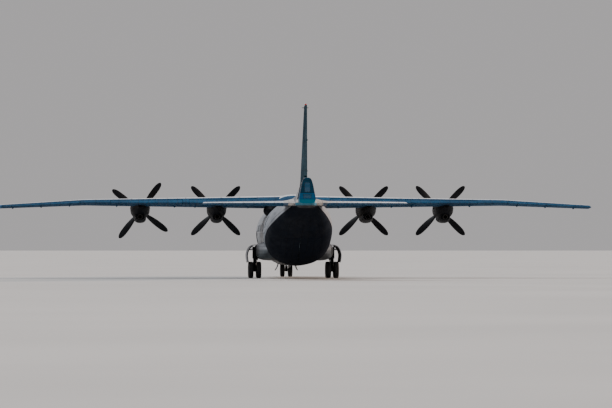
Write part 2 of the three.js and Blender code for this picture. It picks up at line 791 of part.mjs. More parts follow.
function gearDoor() {
  const inner = GEAR_DOOR_LINE.map(([x, z]) => [
    mix(x, SPONSON_CENTRE + 700, GEAR_DOOR_THICK / 1000),
    mix(z, 1300, GEAR_DOOR_THICK / 900),
  ]);
  const strips = GEAR_DOOR_LINE.slice(1).map((point, i) => {
    const corners = [GEAR_DOOR_LINE[i], point, inner[i + 1], inner[i]];
    return loft([-1, 1].map((sign) => corners.map(([x, z]) => (
      [x, y(MAIN.station + sign * (MAIN.wellHalf - 40)), z]))));
  });
  return joined(strips).subtract(sponsonLoft(SEAT));
}

// Nose gear
function noseBay() {
  const { bayHalf, bayFront, bayBack, bayRoof } = NOSE;
  const skin = 30;
  const outer = block(
    [-bayHalf - skin, y(bayBack + skin), 700], [bayHalf + skin, y(bayFront - skin), bayRoof + skin]);
  const room = block([-bayHalf, y(bayBack), 600], [bayHalf, y(bayFront), bayRoof]);
  return outer.subtract(room).intersect(bodyLining);
}

const noseBayHole = block(
  [-NOSE.bayHalf, y(NOSE.bayBack), 600], [NOSE.bayHalf, y(NOSE.bayFront), NOSE.bayRoof - 200]);

const PISTON_RADIUS = 62;
const COLLAR_FOOT = 960;

function noseLeg() {
  const { station, bayRoof } = NOSE;
  const parts = [
    rod([0, y(station), bayRoof - SEAT], [0, y(station), COLLAR_FOOT], 105, 24),
    block([-220, y(station + 160), bayRoof - 60], [220, y(station - 160), bayRoof - SEAT]),
    rod([0, y(station + 60), 1120], [0, y(station + 700), bayRoof + 20], 40, 12),
  ];
  const bore = rod([0, y(station), COLLAR_FOOT - 10], [0, y(station), COLLAR_FOOT + 260],
    boreRadius(PISTON_RADIUS, 24), 24);
  const roof = block([-FAR, -FAR, bayRoof - SEAT], [FAR, FAR, FAR]);
  return cutBy(joined(parts), [bore, roof]);
}

function noseFork() {
  const { station, tyreRadius, axle } = NOSE;
  const parts = [
    rod([0, y(station), COLLAR_FOOT + 260 - SEAT], [0, y(station), 500], PISTON_RADIUS, 24),
    block([-BEAM_HALF, y(station + 95), tyreRadius - 95], [BEAM_HALF, y(station - 95), 620]),
    block([-45, y(station - 90), 500], [45, y(station - 300), 590]),
  ];
  const bore = rod([-200, y(station), tyreRadius], [200, y(station), tyreRadius],
    boreRadius(axle, WHEEL_SIDES), WHEEL_SIDES);
  return joined(parts).subtract(bore);
}

function noseDoor() {
  const { bayHalf, bayFront, bayBack } = NOSE;
  const thick = 28;
  const line = [[bayHalf + 6, 1000], [bayHalf + 6, 800], [bayHalf + 190, 430]];
  const outside = line.map(([x, z]) => [x + thick, z]);
  const strips = [0, 1].map((i) => {
    const corners = [line[i], line[i + 1], outside[i + 1], outside[i]];
    return loft([bayFront + 20, bayBack - 20].map((station) => corners.map(([x, z]) => [x, y(station), z])));
  });
  return joined(strips).subtract(bodySeat);
}

// Chin radome
function chinRadome() {
  const geometry = new THREE.SphereGeometry(1, 20, 12);
  geometry.scale(800, 1150, 420);
  geometry.translate(0, y(2300), 1180);
  return solid(geometry).subtract(bodySeat);
}

// Glazed pieces: sectors of the nose, the cockpit and the tail cabin, as [front, back, from, to] in degrees
const NOSE_SECTORS = 8;
const NOSE_BANDS = [[170, 420], [480, 1020]];
const COCKPIT_PANES = [
  [2020, 2790, 31, 47],
  [2020, 2790, 50, 68],
  [2020, 2790, 71, 88.5],
  [2020, 2790, 91.5, 109],
  [2020, 2790, 112, 130],
  [2020, 2790, 133, 149],
  [2880, 3460, 28, 42],
  [2880, 3460, 138, 152],
];
const TAIL_PANES = [
  [31900, 32900, -12, 22],
  [31900, 32900, 28, 62],
  [31900, 32900, 118, 152],
  [31900, 32900, 158, 192],
];

function nosePanes() {
  const step = 360 / NOSE_SECTORS;
  const post = 5;
  return NOSE_BANDS.flatMap(([front, back]) => (
    Array.from({ length: NOSE_SECTORS }, (_, i) => (
      paneCutter(front, back, i * step + post / 2, (i + 1) * step - post / 2)))));
}

const noseEye = rod([0, y(-100), 2350], [0, y(300), 2350], 190, 20);
const noseFrame = cutBy(bodyWall.intersect(slab(-100, NOSE_JOINT - SEAT / 2)), [...nosePanes(), noseEye]);
const cockpitShell = cutBy(bodyWall.intersect(slab(NOSE_JOINT + SEAT / 2, COCKPIT_JOINT - SEAT / 2)), [
  ...COCKPIT_PANES.map((pane) => paneCutter(...pane)),
  noseBayHole,
]);

// Crew door on the port side, hinged along its head and swinging in
const crewGap = block(
  [-FAR, y(CREW_DOOR.back), CREW_DOOR.sill], [0, y(CREW_DOOR.front), CREW_DOOR.head]);
const crewLeaf = block(
  [-FAR, y(CREW_DOOR.back - SEAM), CREW_DOOR.sill + SEAM],
  [0, y(CREW_DOOR.front + SEAM), CREW_DOOR.head - SEAT]);
const forwardShell = bodyWall.intersect(slab(COCKPIT_JOINT + SEAT / 2, FORWARD_JOINT - SEAT / 2))
  .subtract(crewGap);
const crewDoor = bodyWall.intersect(crewLeaf);

const centreShell = cutBy(
  bodyWall.intersect(slab(FORWARD_JOINT + SEAT / 2, CENTRE_JOINT - SEAT / 2)), [wingCentreSeat]);

// Cargo hatch in the upswept underside: two leaves and a rear door
const hatchHalf = (station) => (station <= HATCH.middle
  ? HATCH.halfWide
  : mix(HATCH.halfWide, HATCH.halfNarrow, (station - HATCH.middle) / (HATCH.back - HATCH.middle)));

// A prism over a plan outline of [x, station] whose end faces stand square to the slope of the hatch.
// The gaps are those at its front, back and sides; left and right override the rim.
function hatchPrism(front, back, gaps, left, right) {
  const rim = (station, side) => side * (hatchHalf(station) - gaps.side);
  const outline = [
    [left ?? rim(front, -1), front + gaps.front],
    [right ?? rim(front, 1), front + gaps.front],
    [right ?? rim(back, 1), back - gaps.back],
    [left ?? rim(back, -1), back - gaps.back],
  ];
  return loft([0, HATCH_CEILING].map((z) => outline.map(([x, station]) => (
    [x, y(station - HATCH_SLOPE * (z - hatchSkin(station))), z]))));
}

const HATCH_CEILING = 3900; // above the hatch skin and below the roof
const HATCH_SLOPE = 0.29;
const hatchSkin = (station) => bodyRowAt(station).bottom;
const noGap = { front: 0, back: 0, side: 0 };
const hatchHole = [
  hatchPrism(HATCH.front, HATCH.middle, noGap),
  hatchPrism(HATCH.middle - 1, HATCH.back, noGap),
];
// Each moving panel seats against the rim at its hinge and keeps a seam along its other edges.
const leafRight = bodyWall.intersect(hatchPrism(
  HATCH.front, HATCH.middle, { front: SEAM, back: SEAM, side: SEAT }, HATCH.centre));
const rearDoor = bodyWall.intersect(hatchPrism(
  HATCH.middle, HATCH.back, { front: 2 * SEAM, back: SEAT, side: SEAM }));
const rearShell = cutBy(bodyWall.intersect(slab(CENTRE_JOINT + SEAT / 2, TAIL_JOINT - SEAT / 2)), hatchHole);

const tailEyes = [
  block([-170, y(33500), 5230], [170, y(32950), 5800]),
  block([-250, y(33500), 4860], [250, y(32950), 5110]),
];
const tailCabin = cutBy(bodyWall.intersect(slab(TAIL_JOINT + SEAT / 2, LENGTH + 100)), [
  ...TAIL_PANES.map((pane) => paneCutter(...pane)),
  ...tailEyes,
]);

const noseGlass = glassWall.intersect(slab(-100, NOSE_JOINT - 60));
const cockpitGlass = glassWall.intersect(slab(1900, 3560))
  .intersect(block([-FAR, -FAR, 3200], [FAR, FAR, FAR]));
const tailGlass = glassWall.intersect(slab(TAIL_JOINT + 300, LENGTH + 100));

// Inside: floors, seats and the instrument panel
const holdFloor = block(
  [-FLOOR_HALF, y(HATCH.front - 450), FLOOR_TOP - FLOOR_THICK],
  [FLOOR_HALF, y(COCKPIT_JOINT + 100), FLOOR_TOP]).intersect(bodyLining);
const cabinRoom = bodySolid(1, GLASS + SEAT, GLASS_SIDES);

function seat(x, station, floor) {
  const base = block([x - 230, y(station + 420), floor - 20], [x + 230, y(station), floor + 420]);
  const back = block([x - 230, y(station + 520), floor - 20], [x + 230, y(station + 400), floor + 1080]);
  return base.add(back);
}

const cockpitDeck = joined([
  block([-FAR, y(COCKPIT_JOINT - 100), DECK_TOP - 60], [FAR, y(2150), DECK_TOP]).intersect(bodyLining),
  block([-1150, y(2260), DECK_TOP - 20], [1150, y(2160), 3260]).intersect(cabinRoom),
  seat(560, 2700, DECK_TOP),
  seat(-560, 2700, DECK_TOP),
]);
const navigatorDeck = joined([
  block([-FAR, y(2500), NAVIGATOR_FLOOR - 60], [FAR, y(600), NAVIGATOR_FLOOR]).intersect(cabinRoom),
  seat(0, 1500, NAVIGATOR_FLOOR),
]);

const beaconProfile = [[0, 0], [70, 0], [70, 30], [55, 75], [0, HEIGHT - FIN.top - SEAT]];
const beaconGeometry = new THREE.LatheGeometry(beaconProfile.map(([r, h]) => new THREE.Vector2(r, h)), 16);
beaconGeometry.rotateX(Math.PI / 2);
beaconGeometry.translate(0, y(FIN.topLead + 700), FIN.top + SEAT);

const aeroplane = new THREE.Group();

function piece(name, shape, material) {
  const mesh = new THREE.Mesh(asGeometry(shape), material);
  mesh.name = name;
  aeroplane.add(mesh);
}

function pair(name, shape, material) {
  piece(`${name}_right`, shape, material);
  piece(`${name}_left`, mirrored(shape), material);
}

piece('nose_frame', noseFrame, SKIN);
piece('nose_glass', noseGlass, CLEAR);
piece('chin_radome', chinRadome(), RADOME);
piece('cockpit_shell', cockpitShell, SKIN);
piece('cockpit_glass', cockpitGlass, CLEAR);
piece('forward_shell', forwardShell, SKIN);
piece('crew_door', crewDoor, SKIN);
piece('centre_shell', centreShell, SKIN);
piece('rear_shell', rearShell, SKIN);
pair('cargo_leaf', leafRight, DARK);
piece('cargo_rear_door', rearDoor, DARK);
piece('tail_cabin', tailCabin, SKIN);
piece('tail_glass', tailGlass, CLEAR);
piece('hold_floor', holdFloor, CABIN);
piece('cockpit_deck', cockpitDeck, CABIN);
piece('navigator_deck', navigatorDeck, CABIN);

piece('wing_centre', wingCentre, WING_SKIN);
piece('wing_hump', wingHump, WING_SKIN);
pair('wing_middle', wingMiddle, WING_SKIN);
pair('wing_outer', wingOuter, WING_SKIN);
pair('flap_inner', flapInnerRight, WING_SKIN);
pair('flap_outer', flapOuterRight, WING_SKIN);
pair('aileron', aileronRight, WING_SKIN);
pair('tailplane', tailplaneRight, WING_SKIN);
pair('elevator', elevatorRight, WING_SKIN);
piece('fin', fin, WING_SKIN);
piece('rudder', rudder, WING_SKIN);
piece('beacon', solid(beaconGeometry), BEACON);

for (const engine of ENGINES) {
  piece(`nacelle_${engine.name}`, nacelle(engine), DARK);
  piece(`propeller_${engine.name}`, propeller(engine), DARK);
}

pair('sponson', sponson, SKIN);
pair('gear_door', gearDoor(), SKIN);
pair('main_leg', mainLeg(), GEAR);
const mainWheels = twinWheels(MAIN);
for (const [place, sign] of [['front', -1], ['rear', 1]]) {
  const station = MAIN.station + (sign * MAIN.axleSpacing) / 2;
  pair(`main_wheels_${place}`, moved(mainWheels, [MAIN.x, y(station), MAIN.tyreRadius]), TYRE);
}
piece('nose_bay', noseBay(), DARK);
piece('nose_leg', noseLeg(), GEAR);
piece('nose_fork', noseFork(), GEAR);
piece('nose_wheels', moved(twinWheels(NOSE), [0, y(NOSE.station), NOSE.tyreRadius]), TYRE);
pair('nose_door', noseDoor(), SKIN);

export default aeroplane;
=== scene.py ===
"""The looks of a four-engine transport aeroplane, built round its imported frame. Metres, +Y to the nose."""

import json
import math
from operator import attrgetter

import bmesh
import bpy
import numpy as np
from mathutils import Matrix, Vector
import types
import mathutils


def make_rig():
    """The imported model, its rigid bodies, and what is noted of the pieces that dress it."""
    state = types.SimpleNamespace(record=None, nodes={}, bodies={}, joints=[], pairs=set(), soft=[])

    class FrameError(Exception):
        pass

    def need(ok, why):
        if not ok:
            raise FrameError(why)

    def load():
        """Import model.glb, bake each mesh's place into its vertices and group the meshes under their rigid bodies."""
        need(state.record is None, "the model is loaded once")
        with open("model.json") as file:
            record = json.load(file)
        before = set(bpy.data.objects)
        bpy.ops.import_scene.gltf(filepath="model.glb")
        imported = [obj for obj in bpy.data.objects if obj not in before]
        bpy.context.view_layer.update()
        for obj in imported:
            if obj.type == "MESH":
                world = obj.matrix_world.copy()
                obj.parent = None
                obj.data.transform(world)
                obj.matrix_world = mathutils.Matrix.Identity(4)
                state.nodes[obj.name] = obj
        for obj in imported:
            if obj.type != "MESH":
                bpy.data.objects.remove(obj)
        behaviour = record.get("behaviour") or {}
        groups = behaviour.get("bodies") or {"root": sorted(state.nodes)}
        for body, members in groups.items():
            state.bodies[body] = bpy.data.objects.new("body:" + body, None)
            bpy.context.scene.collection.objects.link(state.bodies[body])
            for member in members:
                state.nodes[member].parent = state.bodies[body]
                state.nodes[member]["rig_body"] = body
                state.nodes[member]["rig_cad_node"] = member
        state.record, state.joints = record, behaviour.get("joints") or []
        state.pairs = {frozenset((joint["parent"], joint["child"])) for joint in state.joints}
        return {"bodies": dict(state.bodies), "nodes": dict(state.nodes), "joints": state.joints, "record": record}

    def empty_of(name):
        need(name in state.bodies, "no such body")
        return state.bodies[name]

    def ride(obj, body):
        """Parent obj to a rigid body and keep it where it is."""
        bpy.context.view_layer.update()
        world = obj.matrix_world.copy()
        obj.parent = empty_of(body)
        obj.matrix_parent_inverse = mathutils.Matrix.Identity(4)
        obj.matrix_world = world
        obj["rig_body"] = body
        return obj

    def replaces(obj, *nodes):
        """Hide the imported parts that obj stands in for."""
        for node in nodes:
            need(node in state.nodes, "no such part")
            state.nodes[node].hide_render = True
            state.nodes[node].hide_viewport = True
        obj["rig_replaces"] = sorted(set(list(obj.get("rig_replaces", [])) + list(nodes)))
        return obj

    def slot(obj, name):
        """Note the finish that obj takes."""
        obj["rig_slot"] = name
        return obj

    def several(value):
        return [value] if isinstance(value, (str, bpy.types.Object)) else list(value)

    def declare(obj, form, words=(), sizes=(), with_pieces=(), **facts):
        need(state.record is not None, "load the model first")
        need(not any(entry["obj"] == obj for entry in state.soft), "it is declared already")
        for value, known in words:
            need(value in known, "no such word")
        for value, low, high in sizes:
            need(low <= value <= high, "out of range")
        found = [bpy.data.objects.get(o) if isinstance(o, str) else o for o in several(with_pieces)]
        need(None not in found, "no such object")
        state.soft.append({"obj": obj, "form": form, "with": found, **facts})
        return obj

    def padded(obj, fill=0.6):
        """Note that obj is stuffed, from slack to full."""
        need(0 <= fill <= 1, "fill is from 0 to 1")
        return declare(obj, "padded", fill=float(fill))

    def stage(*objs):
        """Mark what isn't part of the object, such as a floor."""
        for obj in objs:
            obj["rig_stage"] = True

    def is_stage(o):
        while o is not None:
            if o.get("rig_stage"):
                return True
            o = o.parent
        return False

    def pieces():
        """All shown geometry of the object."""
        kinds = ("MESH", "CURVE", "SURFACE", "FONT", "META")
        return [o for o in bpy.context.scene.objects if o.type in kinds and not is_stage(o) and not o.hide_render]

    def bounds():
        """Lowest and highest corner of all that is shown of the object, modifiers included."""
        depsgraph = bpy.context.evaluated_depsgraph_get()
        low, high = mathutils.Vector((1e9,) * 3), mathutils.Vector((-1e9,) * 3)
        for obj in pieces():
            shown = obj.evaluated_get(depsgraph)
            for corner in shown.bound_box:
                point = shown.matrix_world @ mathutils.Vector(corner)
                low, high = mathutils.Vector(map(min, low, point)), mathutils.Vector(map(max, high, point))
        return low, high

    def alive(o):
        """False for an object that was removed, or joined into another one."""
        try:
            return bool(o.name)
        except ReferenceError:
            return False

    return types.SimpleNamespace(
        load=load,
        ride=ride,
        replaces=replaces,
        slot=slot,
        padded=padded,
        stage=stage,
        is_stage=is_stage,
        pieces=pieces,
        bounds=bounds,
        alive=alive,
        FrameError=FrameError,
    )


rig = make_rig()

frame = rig.load()
cad_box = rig.bounds()

# Sizes that the frame was built to
LENGTH = 33.1
HALF_SPAN = 19.0
TRAIL_EDGE = 0.008
SEAM = 0.012
FLAP_SEAM = 0.02
JOINT_GAP = 0.002
SKIN_GAP = 0.001  # between a piece and what it was cut to fit
FAR, PAST_TAIL = 40.0, 33.5  # past every piece, and past the tail

BODY_SIDES = 96
# station, half width, bottom, top, middle, low squareness, high squareness, narrowing of the top, wall
BODY_ROWS = np.array([
    [0, 0.26, 2.08, 2.64, 2.35, 2, 2, 0, 0.06],
    [0.14, 0.62, 1.74, 2.96, 2.35, 2, 2, 0, 0.06],
    [0.45, 0.98, 1.44, 3.22, 2.34, 2, 2, 0, 0.06],
    [1.05, 1.33, 1.19, 3.42, 2.4, 2, 2, 0, 0.06],
    [1.9, 1.62, 1.01, 3.66, 2.5, 2, 2, 0, 0.11],
    [2.9, 1.84, 0.88, 4.43, 2.65, 2, 2, 0, 0.12],
    [3.9, 1.98, 0.82, 4.78, 2.78, 2, 2, 0, 0.13],
    [5.3, 2.05, 0.8, 4.9, 2.85, 2, 2, 0, 0.15],
    [18.6, 2.05, 0.8, 4.9, 2.85, 2, 2, 0, 0.15],
    [19.7, 2.05, 0.85, 4.9, 2.86, 2.4, 2, 0, 0.13],
    [20.8, 2.05, 1.11, 4.9, 2.9, 2.8, 2, 0, 0.12],
    [23.0, 2.02, 1.79, 4.9, 3.1, 3, 2, 0, 0.11],
    [25.5, 1.83, 2.565, 4.92, 3.55, 3, 2, 0, 0.1],
    [28.2, 1.3, 3.402, 5.08, 4.15, 2.9, 2, 0.18, 0.09],
    [30.0, 0.8, 3.94, 5.56, 4.5, 2.8, 1.8, 0.38, 0.08],
    [31.3, 0.54, 4.3, 6.02, 4.95, 3.2, 2.8, 0.4, 0.07],
    [32.4, 0.45, 4.46, 6.1, 5.15, 3.8, 4, 0.36, 0.06],
    [33.1, 0.41, 4.56, 6.06, 5.2, 3.8, 4, 0.36, 0.06],
])
BODY_RADIUS, BODY_MIDDLE, NOSE_MIDDLE = 2.05, 2.85, 2.35
NOSE_JOINT, COCKPIT_JOINT, FORWARD_JOINT, CENTRE_JOINT, TAIL_JOINT = 1.4, 5.3, 10.4, 18.6, 31.3

WING_PLANE, WING_LEAD, WING_TRAIL, WING_TIP_CHORD = 4.8, 11.6, 16.33, 1.69
WING_INNER_JOINT, WING_OUTER_JOINT, WING_DROOP = 6.9, 13.4, 0.0495
WING_THICK, WING_ABOVE, WING_BELOW = (0.18, 0.14), 1.16, 0.84
TIP_CAP = 0.12
FLAP_INNER, FLAP_OUTER, AILERON = (2.35, 6.7), (7.1, 11.7), (13.6, 18.5)
FLAP_LINE = 0.72

TAIL_PLANE, TAIL_HALF_SPAN = 4.585, 6.1
TAIL_LEAD, TAIL_CHORD, TAIL_THICK = (28.3, 29.55), (3.0, 1.4), 0.12  # at the root and at the tip
ELEVATOR, ELEVATOR_LINE = (1.35, 5.85), 0.64
FIN_FOOT, FIN_TOP = 4.85, 10.43
FIN_LEAD, FIN_TRAIL, FIN_THICK = (25.7, 30.25), (32.45, 32.05), (0.4, 0.16)  # at the foot and at the top
RUDDER, RUDDER_HINGE = (6.21, 10.33), (30.95, 31.35)

THRUST_LINE = 4.36
ENGINE_INNER, ENGINE_OUTER = 4.85, 9.8
# name, x, propeller station, length, turn of the propeller in degrees
ENGINES = [
    ("outer_left", -ENGINE_OUTER, 10.4, 4.88, 37),
    ("inner_left", -ENGINE_INNER, 9.3, 5.65, 45),
    ("inner_right", ENGINE_INNER, 9.3, 5.65, 45),
    ("outer_right", ENGINE_OUTER, 10.4, 4.88, 45),
]

MAIN_X, MAIN_STATION, AXLE_SPACING, WELL_ROOF, WELL_HALF = 2.48, 14.6, 1.23, 2.05, 1.25
NOSE_STATION, BAY_FRONT, BAY_BACK, BAY_HALF, BAY_ROOF = 4.1, 3.45, 4.98, 0.55, 1.4

AHEAD, AFT, STARBOARD, UP = (0, 1, 0), (0, -1, 0), (1, 0, 0), (0, 0, 1)


def y(station):
    return LENGTH / 2 - station


def mix(a, b, t):
    return a + (b - a) * t


def smooth_rows(rows):
    """A function that gives the columns of rows at any value of the first one, without overshoot."""
    rows = np.asarray(rows, float)
    at, values = rows[:, 0], rows[:, 1:]
    gaps = np.diff(at)[:, None]
    steps = np.diff(values, axis=0) / gaps
    slopes = np.zeros_like(values)
    same = steps[:-1] * steps[1:] > 0
    before, after = 2 * gaps[1:] + gaps[:-1], gaps[1:] + 2 * gaps[:-1]
    safe = np.where(same, steps[:-1], 1), np.where(same, steps[1:], 1)
    slopes[1:-1] = np.where(same, (before + after) / (before / safe[0] + after / safe[1]), 0)
    slopes[0], slopes[-1] = steps[0], steps[-1]

    def row(value):
        i = int(np.clip(np.searchsorted(at, value) - 1, 0, len(at) - 2))
        h = at[i + 1] - at[i]
        t = (value - at[i]) / h
        keep = (1 + 2 * t) * (1 - t) ** 2 * values[i] + t * t * (3 - 2 * t) * values[i + 1]
        return keep + h * t * (1 - t) * ((1 - t) * slopes[i] - t * slopes[i + 1])

    return row


def turn_steps(count):
    """Angles of even steps round a circle."""
    return np.arange(count) * 2 * math.pi / count


def places(x, station):
    """A function that gives points near a spot, by the way across, the way aft and the height."""
    return lambda across, aft, height: (x + across, y(station + aft), height)


def signed_power(value, power):
    return np.sign(value) * np.abs(value) ** power


def oval(x, station, z, half, rise, power, angles):
    """Points of an upright oval, which is squarer the lower its power."""
    return np.stack([
        x + half * signed_power(np.cos(angles), power), np.full(len(angles), y(station)),
        z + rise * signed_power(np.sin(angles), power),
    ], axis=-1)


def stations_between(front, back, step, marks=()):
    """Evenly spaced stations, with the marks that lie between."""
    even = np.linspace(front, back, max(2, int(math.ceil((back - front) / step)) + 1))
    inside = [m for m in marks if front + 1e-3 < m < back - 1e-3]
    return np.unique(np.round(np.concatenate([even, inside]), 5))


# Mesh tools. A shape is an object that isn't dressed yet.
scrap = []


def linked(data, name):
    """A new object in the scene."""
    obj = bpy.data.objects.new(name, data)
    bpy.context.scene.collection.objects.link(obj)
    return obj


def shape_of(points, faces, name="shape"):
    mesh = bpy.data.meshes.new(name)
    mesh.from_pydata([tuple(map(float, p)) for p in points], [], [tuple(map(int, f)) for f in faces])
    mesh.update()
    return linked(mesh, name)


def edited(shape, change):
    """The shape after a change to its mesh."""
    bm = bmesh.new()
    bm.from_mesh(shape.data)
    change(bm)
    bm.to_mesh(shape.data)
    bm.free()
    return shape


def turned_out(shape):
    """The same closed shape with its faces outwards."""
    def turn(bm):
        if bm.calc_volume(signed=True) < 0:
            bmesh.ops.reverse_faces(bm, faces=bm.faces)

    return edited(shape, turn)


def loft(rings):
    """A closed skin over rings of equal count."""
    rings = np.asarray(rings, float)
    count, sides = rings.shape[:2]
    first = np.arange(sides)
    following = (first + 1) % sides
    faces = [
        quad
        for r in range(count - 1)
        for quad in zip(
            r * sides + first, r * sides + following,
            (r + 1) * sides + following, (r + 1) * sides + first)
    ]
    faces.append(tuple(first[::-1]))
    faces.append(tuple((count - 1) * sides + first))
    return turned_out(shape_of(rings.reshape(-1, 3), faces))


def block(low, high, bevel=0.0):
    xs, ys, zs = zip(low, high)
    shape = loft([[(x, ys[i], zs[j]) for i, j in ((0, 0), (0, 1), (1, 1), (1, 0))] for x in xs])
    if bevel:
        edited(shape, lambda bm: bmesh.ops.bevel(
            bm, geom=bm.edges[:], offset=bevel, segments=2, affect="EDGES", profile=0.6, clamp_overlap=True))
    return shape


def frame_along(direction):
    """Two unit vectors square to a direction and to each other."""
    direction = Vector(direction).normalized()
    side = direction.cross(Vector(UP) if abs(direction.z) < 0.9 else Vector(AHEAD)).normalized()
    return np.array(side), np.array(direction.cross(side))


def lathe(profile, origin, axis, sides=32):
    """A closed turned shape. The profile is [radius, distance along the axis]. It starts and ends on the
    axis, or is a loop that ends where it starts."""
    axis = np.array(Vector(axis).normalized())
    side, up = frame_along(axis)
    angles = turn_steps(sides)
    around = np.cos(angles)[:, None] * side + np.sin(angles)[:, None] * up
    points, rings = [], []
    for i, (radius, along) in enumerate(profile):
        centre = np.asarray(origin, float) + axis * along
        if i and (radius, along) == tuple(profile[0]):
            rings.append(rings[0])
        elif radius < 1e-6:
            rings.append([len(points)] * sides)
            points.append(centre)
        else:
            rings.append(list(range(len(points), len(points) + sides)))
            points.extend(centre + around * radius)
    faces = []
    for near, far in zip(rings, rings[1:]):
        for i in range(sides):
            j = (i + 1) % sides
            face = list(dict.fromkeys([near[i], near[j], far[j], far[i]]))
            if len(face) > 2:
                faces.append(face)
    return turned_out(shape_of(points, faces))


def rod(start, end, radius, sides=20, end_radius=None, bevel=0.0):
    start, end = np.asarray(start, float), np.asarray(end, float)
    length = float(np.linalg.norm(end - start))
    last = radius if end_radius is None else end_radius
    profile = [(0, 0), (radius, 0), (last, length), (0, length)]
    if bevel:
        profile[1:3] = [(radius - bevel, 0), (radius, bevel), (last, length - bevel), (last - bevel, length)]
    return lathe(profile, start, end - start, sides)


def tube(path, radius, sides=8, closed=False):
    """A round bar along a path of points."""
    path = np.asarray(path, float)
    ahead = np.roll(path, -1, axis=0) if closed else np.vstack([path[1:], 2 * path[-1] - path[-2]])
    behind = np.roll(path, 1, axis=0) if closed else np.vstack([2 * path[0] - path[1], path[:-1]])
    direction = ahead - behind
    direction /= np.linalg.norm(direction, axis=1)[:, None]
    side = frame_along(direction[0])[0]
    angles = turn_steps(sides)
    rings = []
    for point, along in zip(path, direction):
        side = side - along * np.dot(side, along)
        side /= np.linalg.norm(side)
        up = np.cross(along, side)
        rings.append(point + radius * (np.cos(angles)[:, None] * side + np.sin(angles)[:, None] * up))
    if not closed:
        return loft(rings)
    count = len(rings)
    faces = [
        (r * sides + i, r * sides + (i + 1) % sides,
         (r + 1) % count * sides + (i + 1) % sides, (r + 1) % count * sides + i)
        for r in range(count) for i in range(sides)
    ]
    return turned_out(shape_of(np.vstack(rings), faces))


def settled(shape):
    """The shape with its modifiers carried out."""
    old = shape.data
    shape.data = bpy.data.meshes.new_from_object(
        shape.evaluated_get(bpy.context.evaluated_depsgraph_get()))
    shape.modifiers.clear()
    bpy.data.meshes.remove(old)
    return shape


def boolean(shape, tools, operation):
    """The shape after a cut, join or common part with each tool. Tools stay for other cuts until the end."""
    for tool in tools:
        modifier = shape.modifiers.new("cut", "BOOLEAN")
        modifier.operation = operation
        modifier.solver = "MANIFOLD"
        modifier.object = tool
        if tool not in scrap:
            scrap.append(tool)
    return settled(shape)


def cut(shape, *tools):
    return boolean(shape, tools, "DIFFERENCE")


def common(shape, *tools):
    return boolean(shape, tools, "INTERSECT")


def united(shapes):
    return boolean(shapes[0], shapes[1:], "UNION")


def gathered(shapes):
    """Several shapes as one, each still closed by itself."""
    bm = bmesh.new()
    for shape in shapes:
        bm.from_mesh(shape.data)
    bm.to_mesh(shapes[0].data)
    bm.free()
    for shape in shapes[1:]:
        bpy.data.objects.remove(shape)
    return shapes[0]


def copied(shape, matrix=None):
    """A copy, placed by a matrix. A mirrored one keeps its faces outwards."""
    made = shape.copy()
    made.data = shape.data.copy()
    bpy.context.scene.collection.objects.link(made)
    if matrix is not None:
        made.data.transform(matrix)
        if matrix.determinant() < 0:
            made.data.flip_normals()
    return made


def mirrored(shape):
    return copied(shape, Matrix.Scale(-1, 4, STARBOARD))


def both_sides(shape):
    return gathered([shape, mirrored(shape)])


def without_scraps(bm):
    """Joins points that lie together and takes out faces without area."""
    bmesh.ops.remove_doubles(bm, verts=bm.verts, dist=1e-5)
    bmesh.ops.dissolve_degenerate(bm, edges=bm.edges, dist=1e-6)


def dress(shape, name, material, slot, body="airframe", stands_for=(), sharp=32):
    """Names a shape, or a list of them as one, gives it its finish and puts it on its body."""
    if isinstance(shape, list):
        shape = gathered(shape)
    shape.name = name
    shape.data.name = name
    edited(shape, without_scraps)
    materials = material if isinstance(material, (list, tuple)) else [material]
    finish_of_face = np.zeros(len(shape.data.polygons), np.int32)
    shape.data.polygons.foreach_get("material_index", finish_of_face)
    shape.data.materials.clear()  # this sets every face to the first finish
    for item in materials:
        shape.data.materials.append(item)
    shape.data.polygons.foreach_set("material_index", finish_of_face)
    shape.data.shade_smooth()
    shape.data.set_sharp_from_angle(angle=math.radians(sharp))
    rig.ride(shape, body)
    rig.slot(shape, slot)
    if stands_for:
        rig.replaces(shape, *([stands_for] if isinstance(stands_for, str) else stands_for))
    return shape


def dress_pair(right, name, material, slot, body=None, stands_for=True, sharp=32):
    """Dresses a starboard shape, or a list of them as one, and its mirror image to port."""
    if isinstance(right, list):
        right = gathered(right)
    left = mirrored(right)
    for shape, side in ((right, "right"), (left, "left")):
        dress(
            shape, f"{name}_{side}_skin", material, slot,
            body=f"{body}_{side}" if body else "airframe",
            stands_for=f"{name}_{side}" if stands_for else (), sharp=sharp)


def second_finish(shape, inside):
    """Gives the second finish to the faces whose middle passes a test."""
    for polygon in shape.data.polygons:
        polygon.material_index = 1 if inside(polygon.center, polygon.normal) else 0


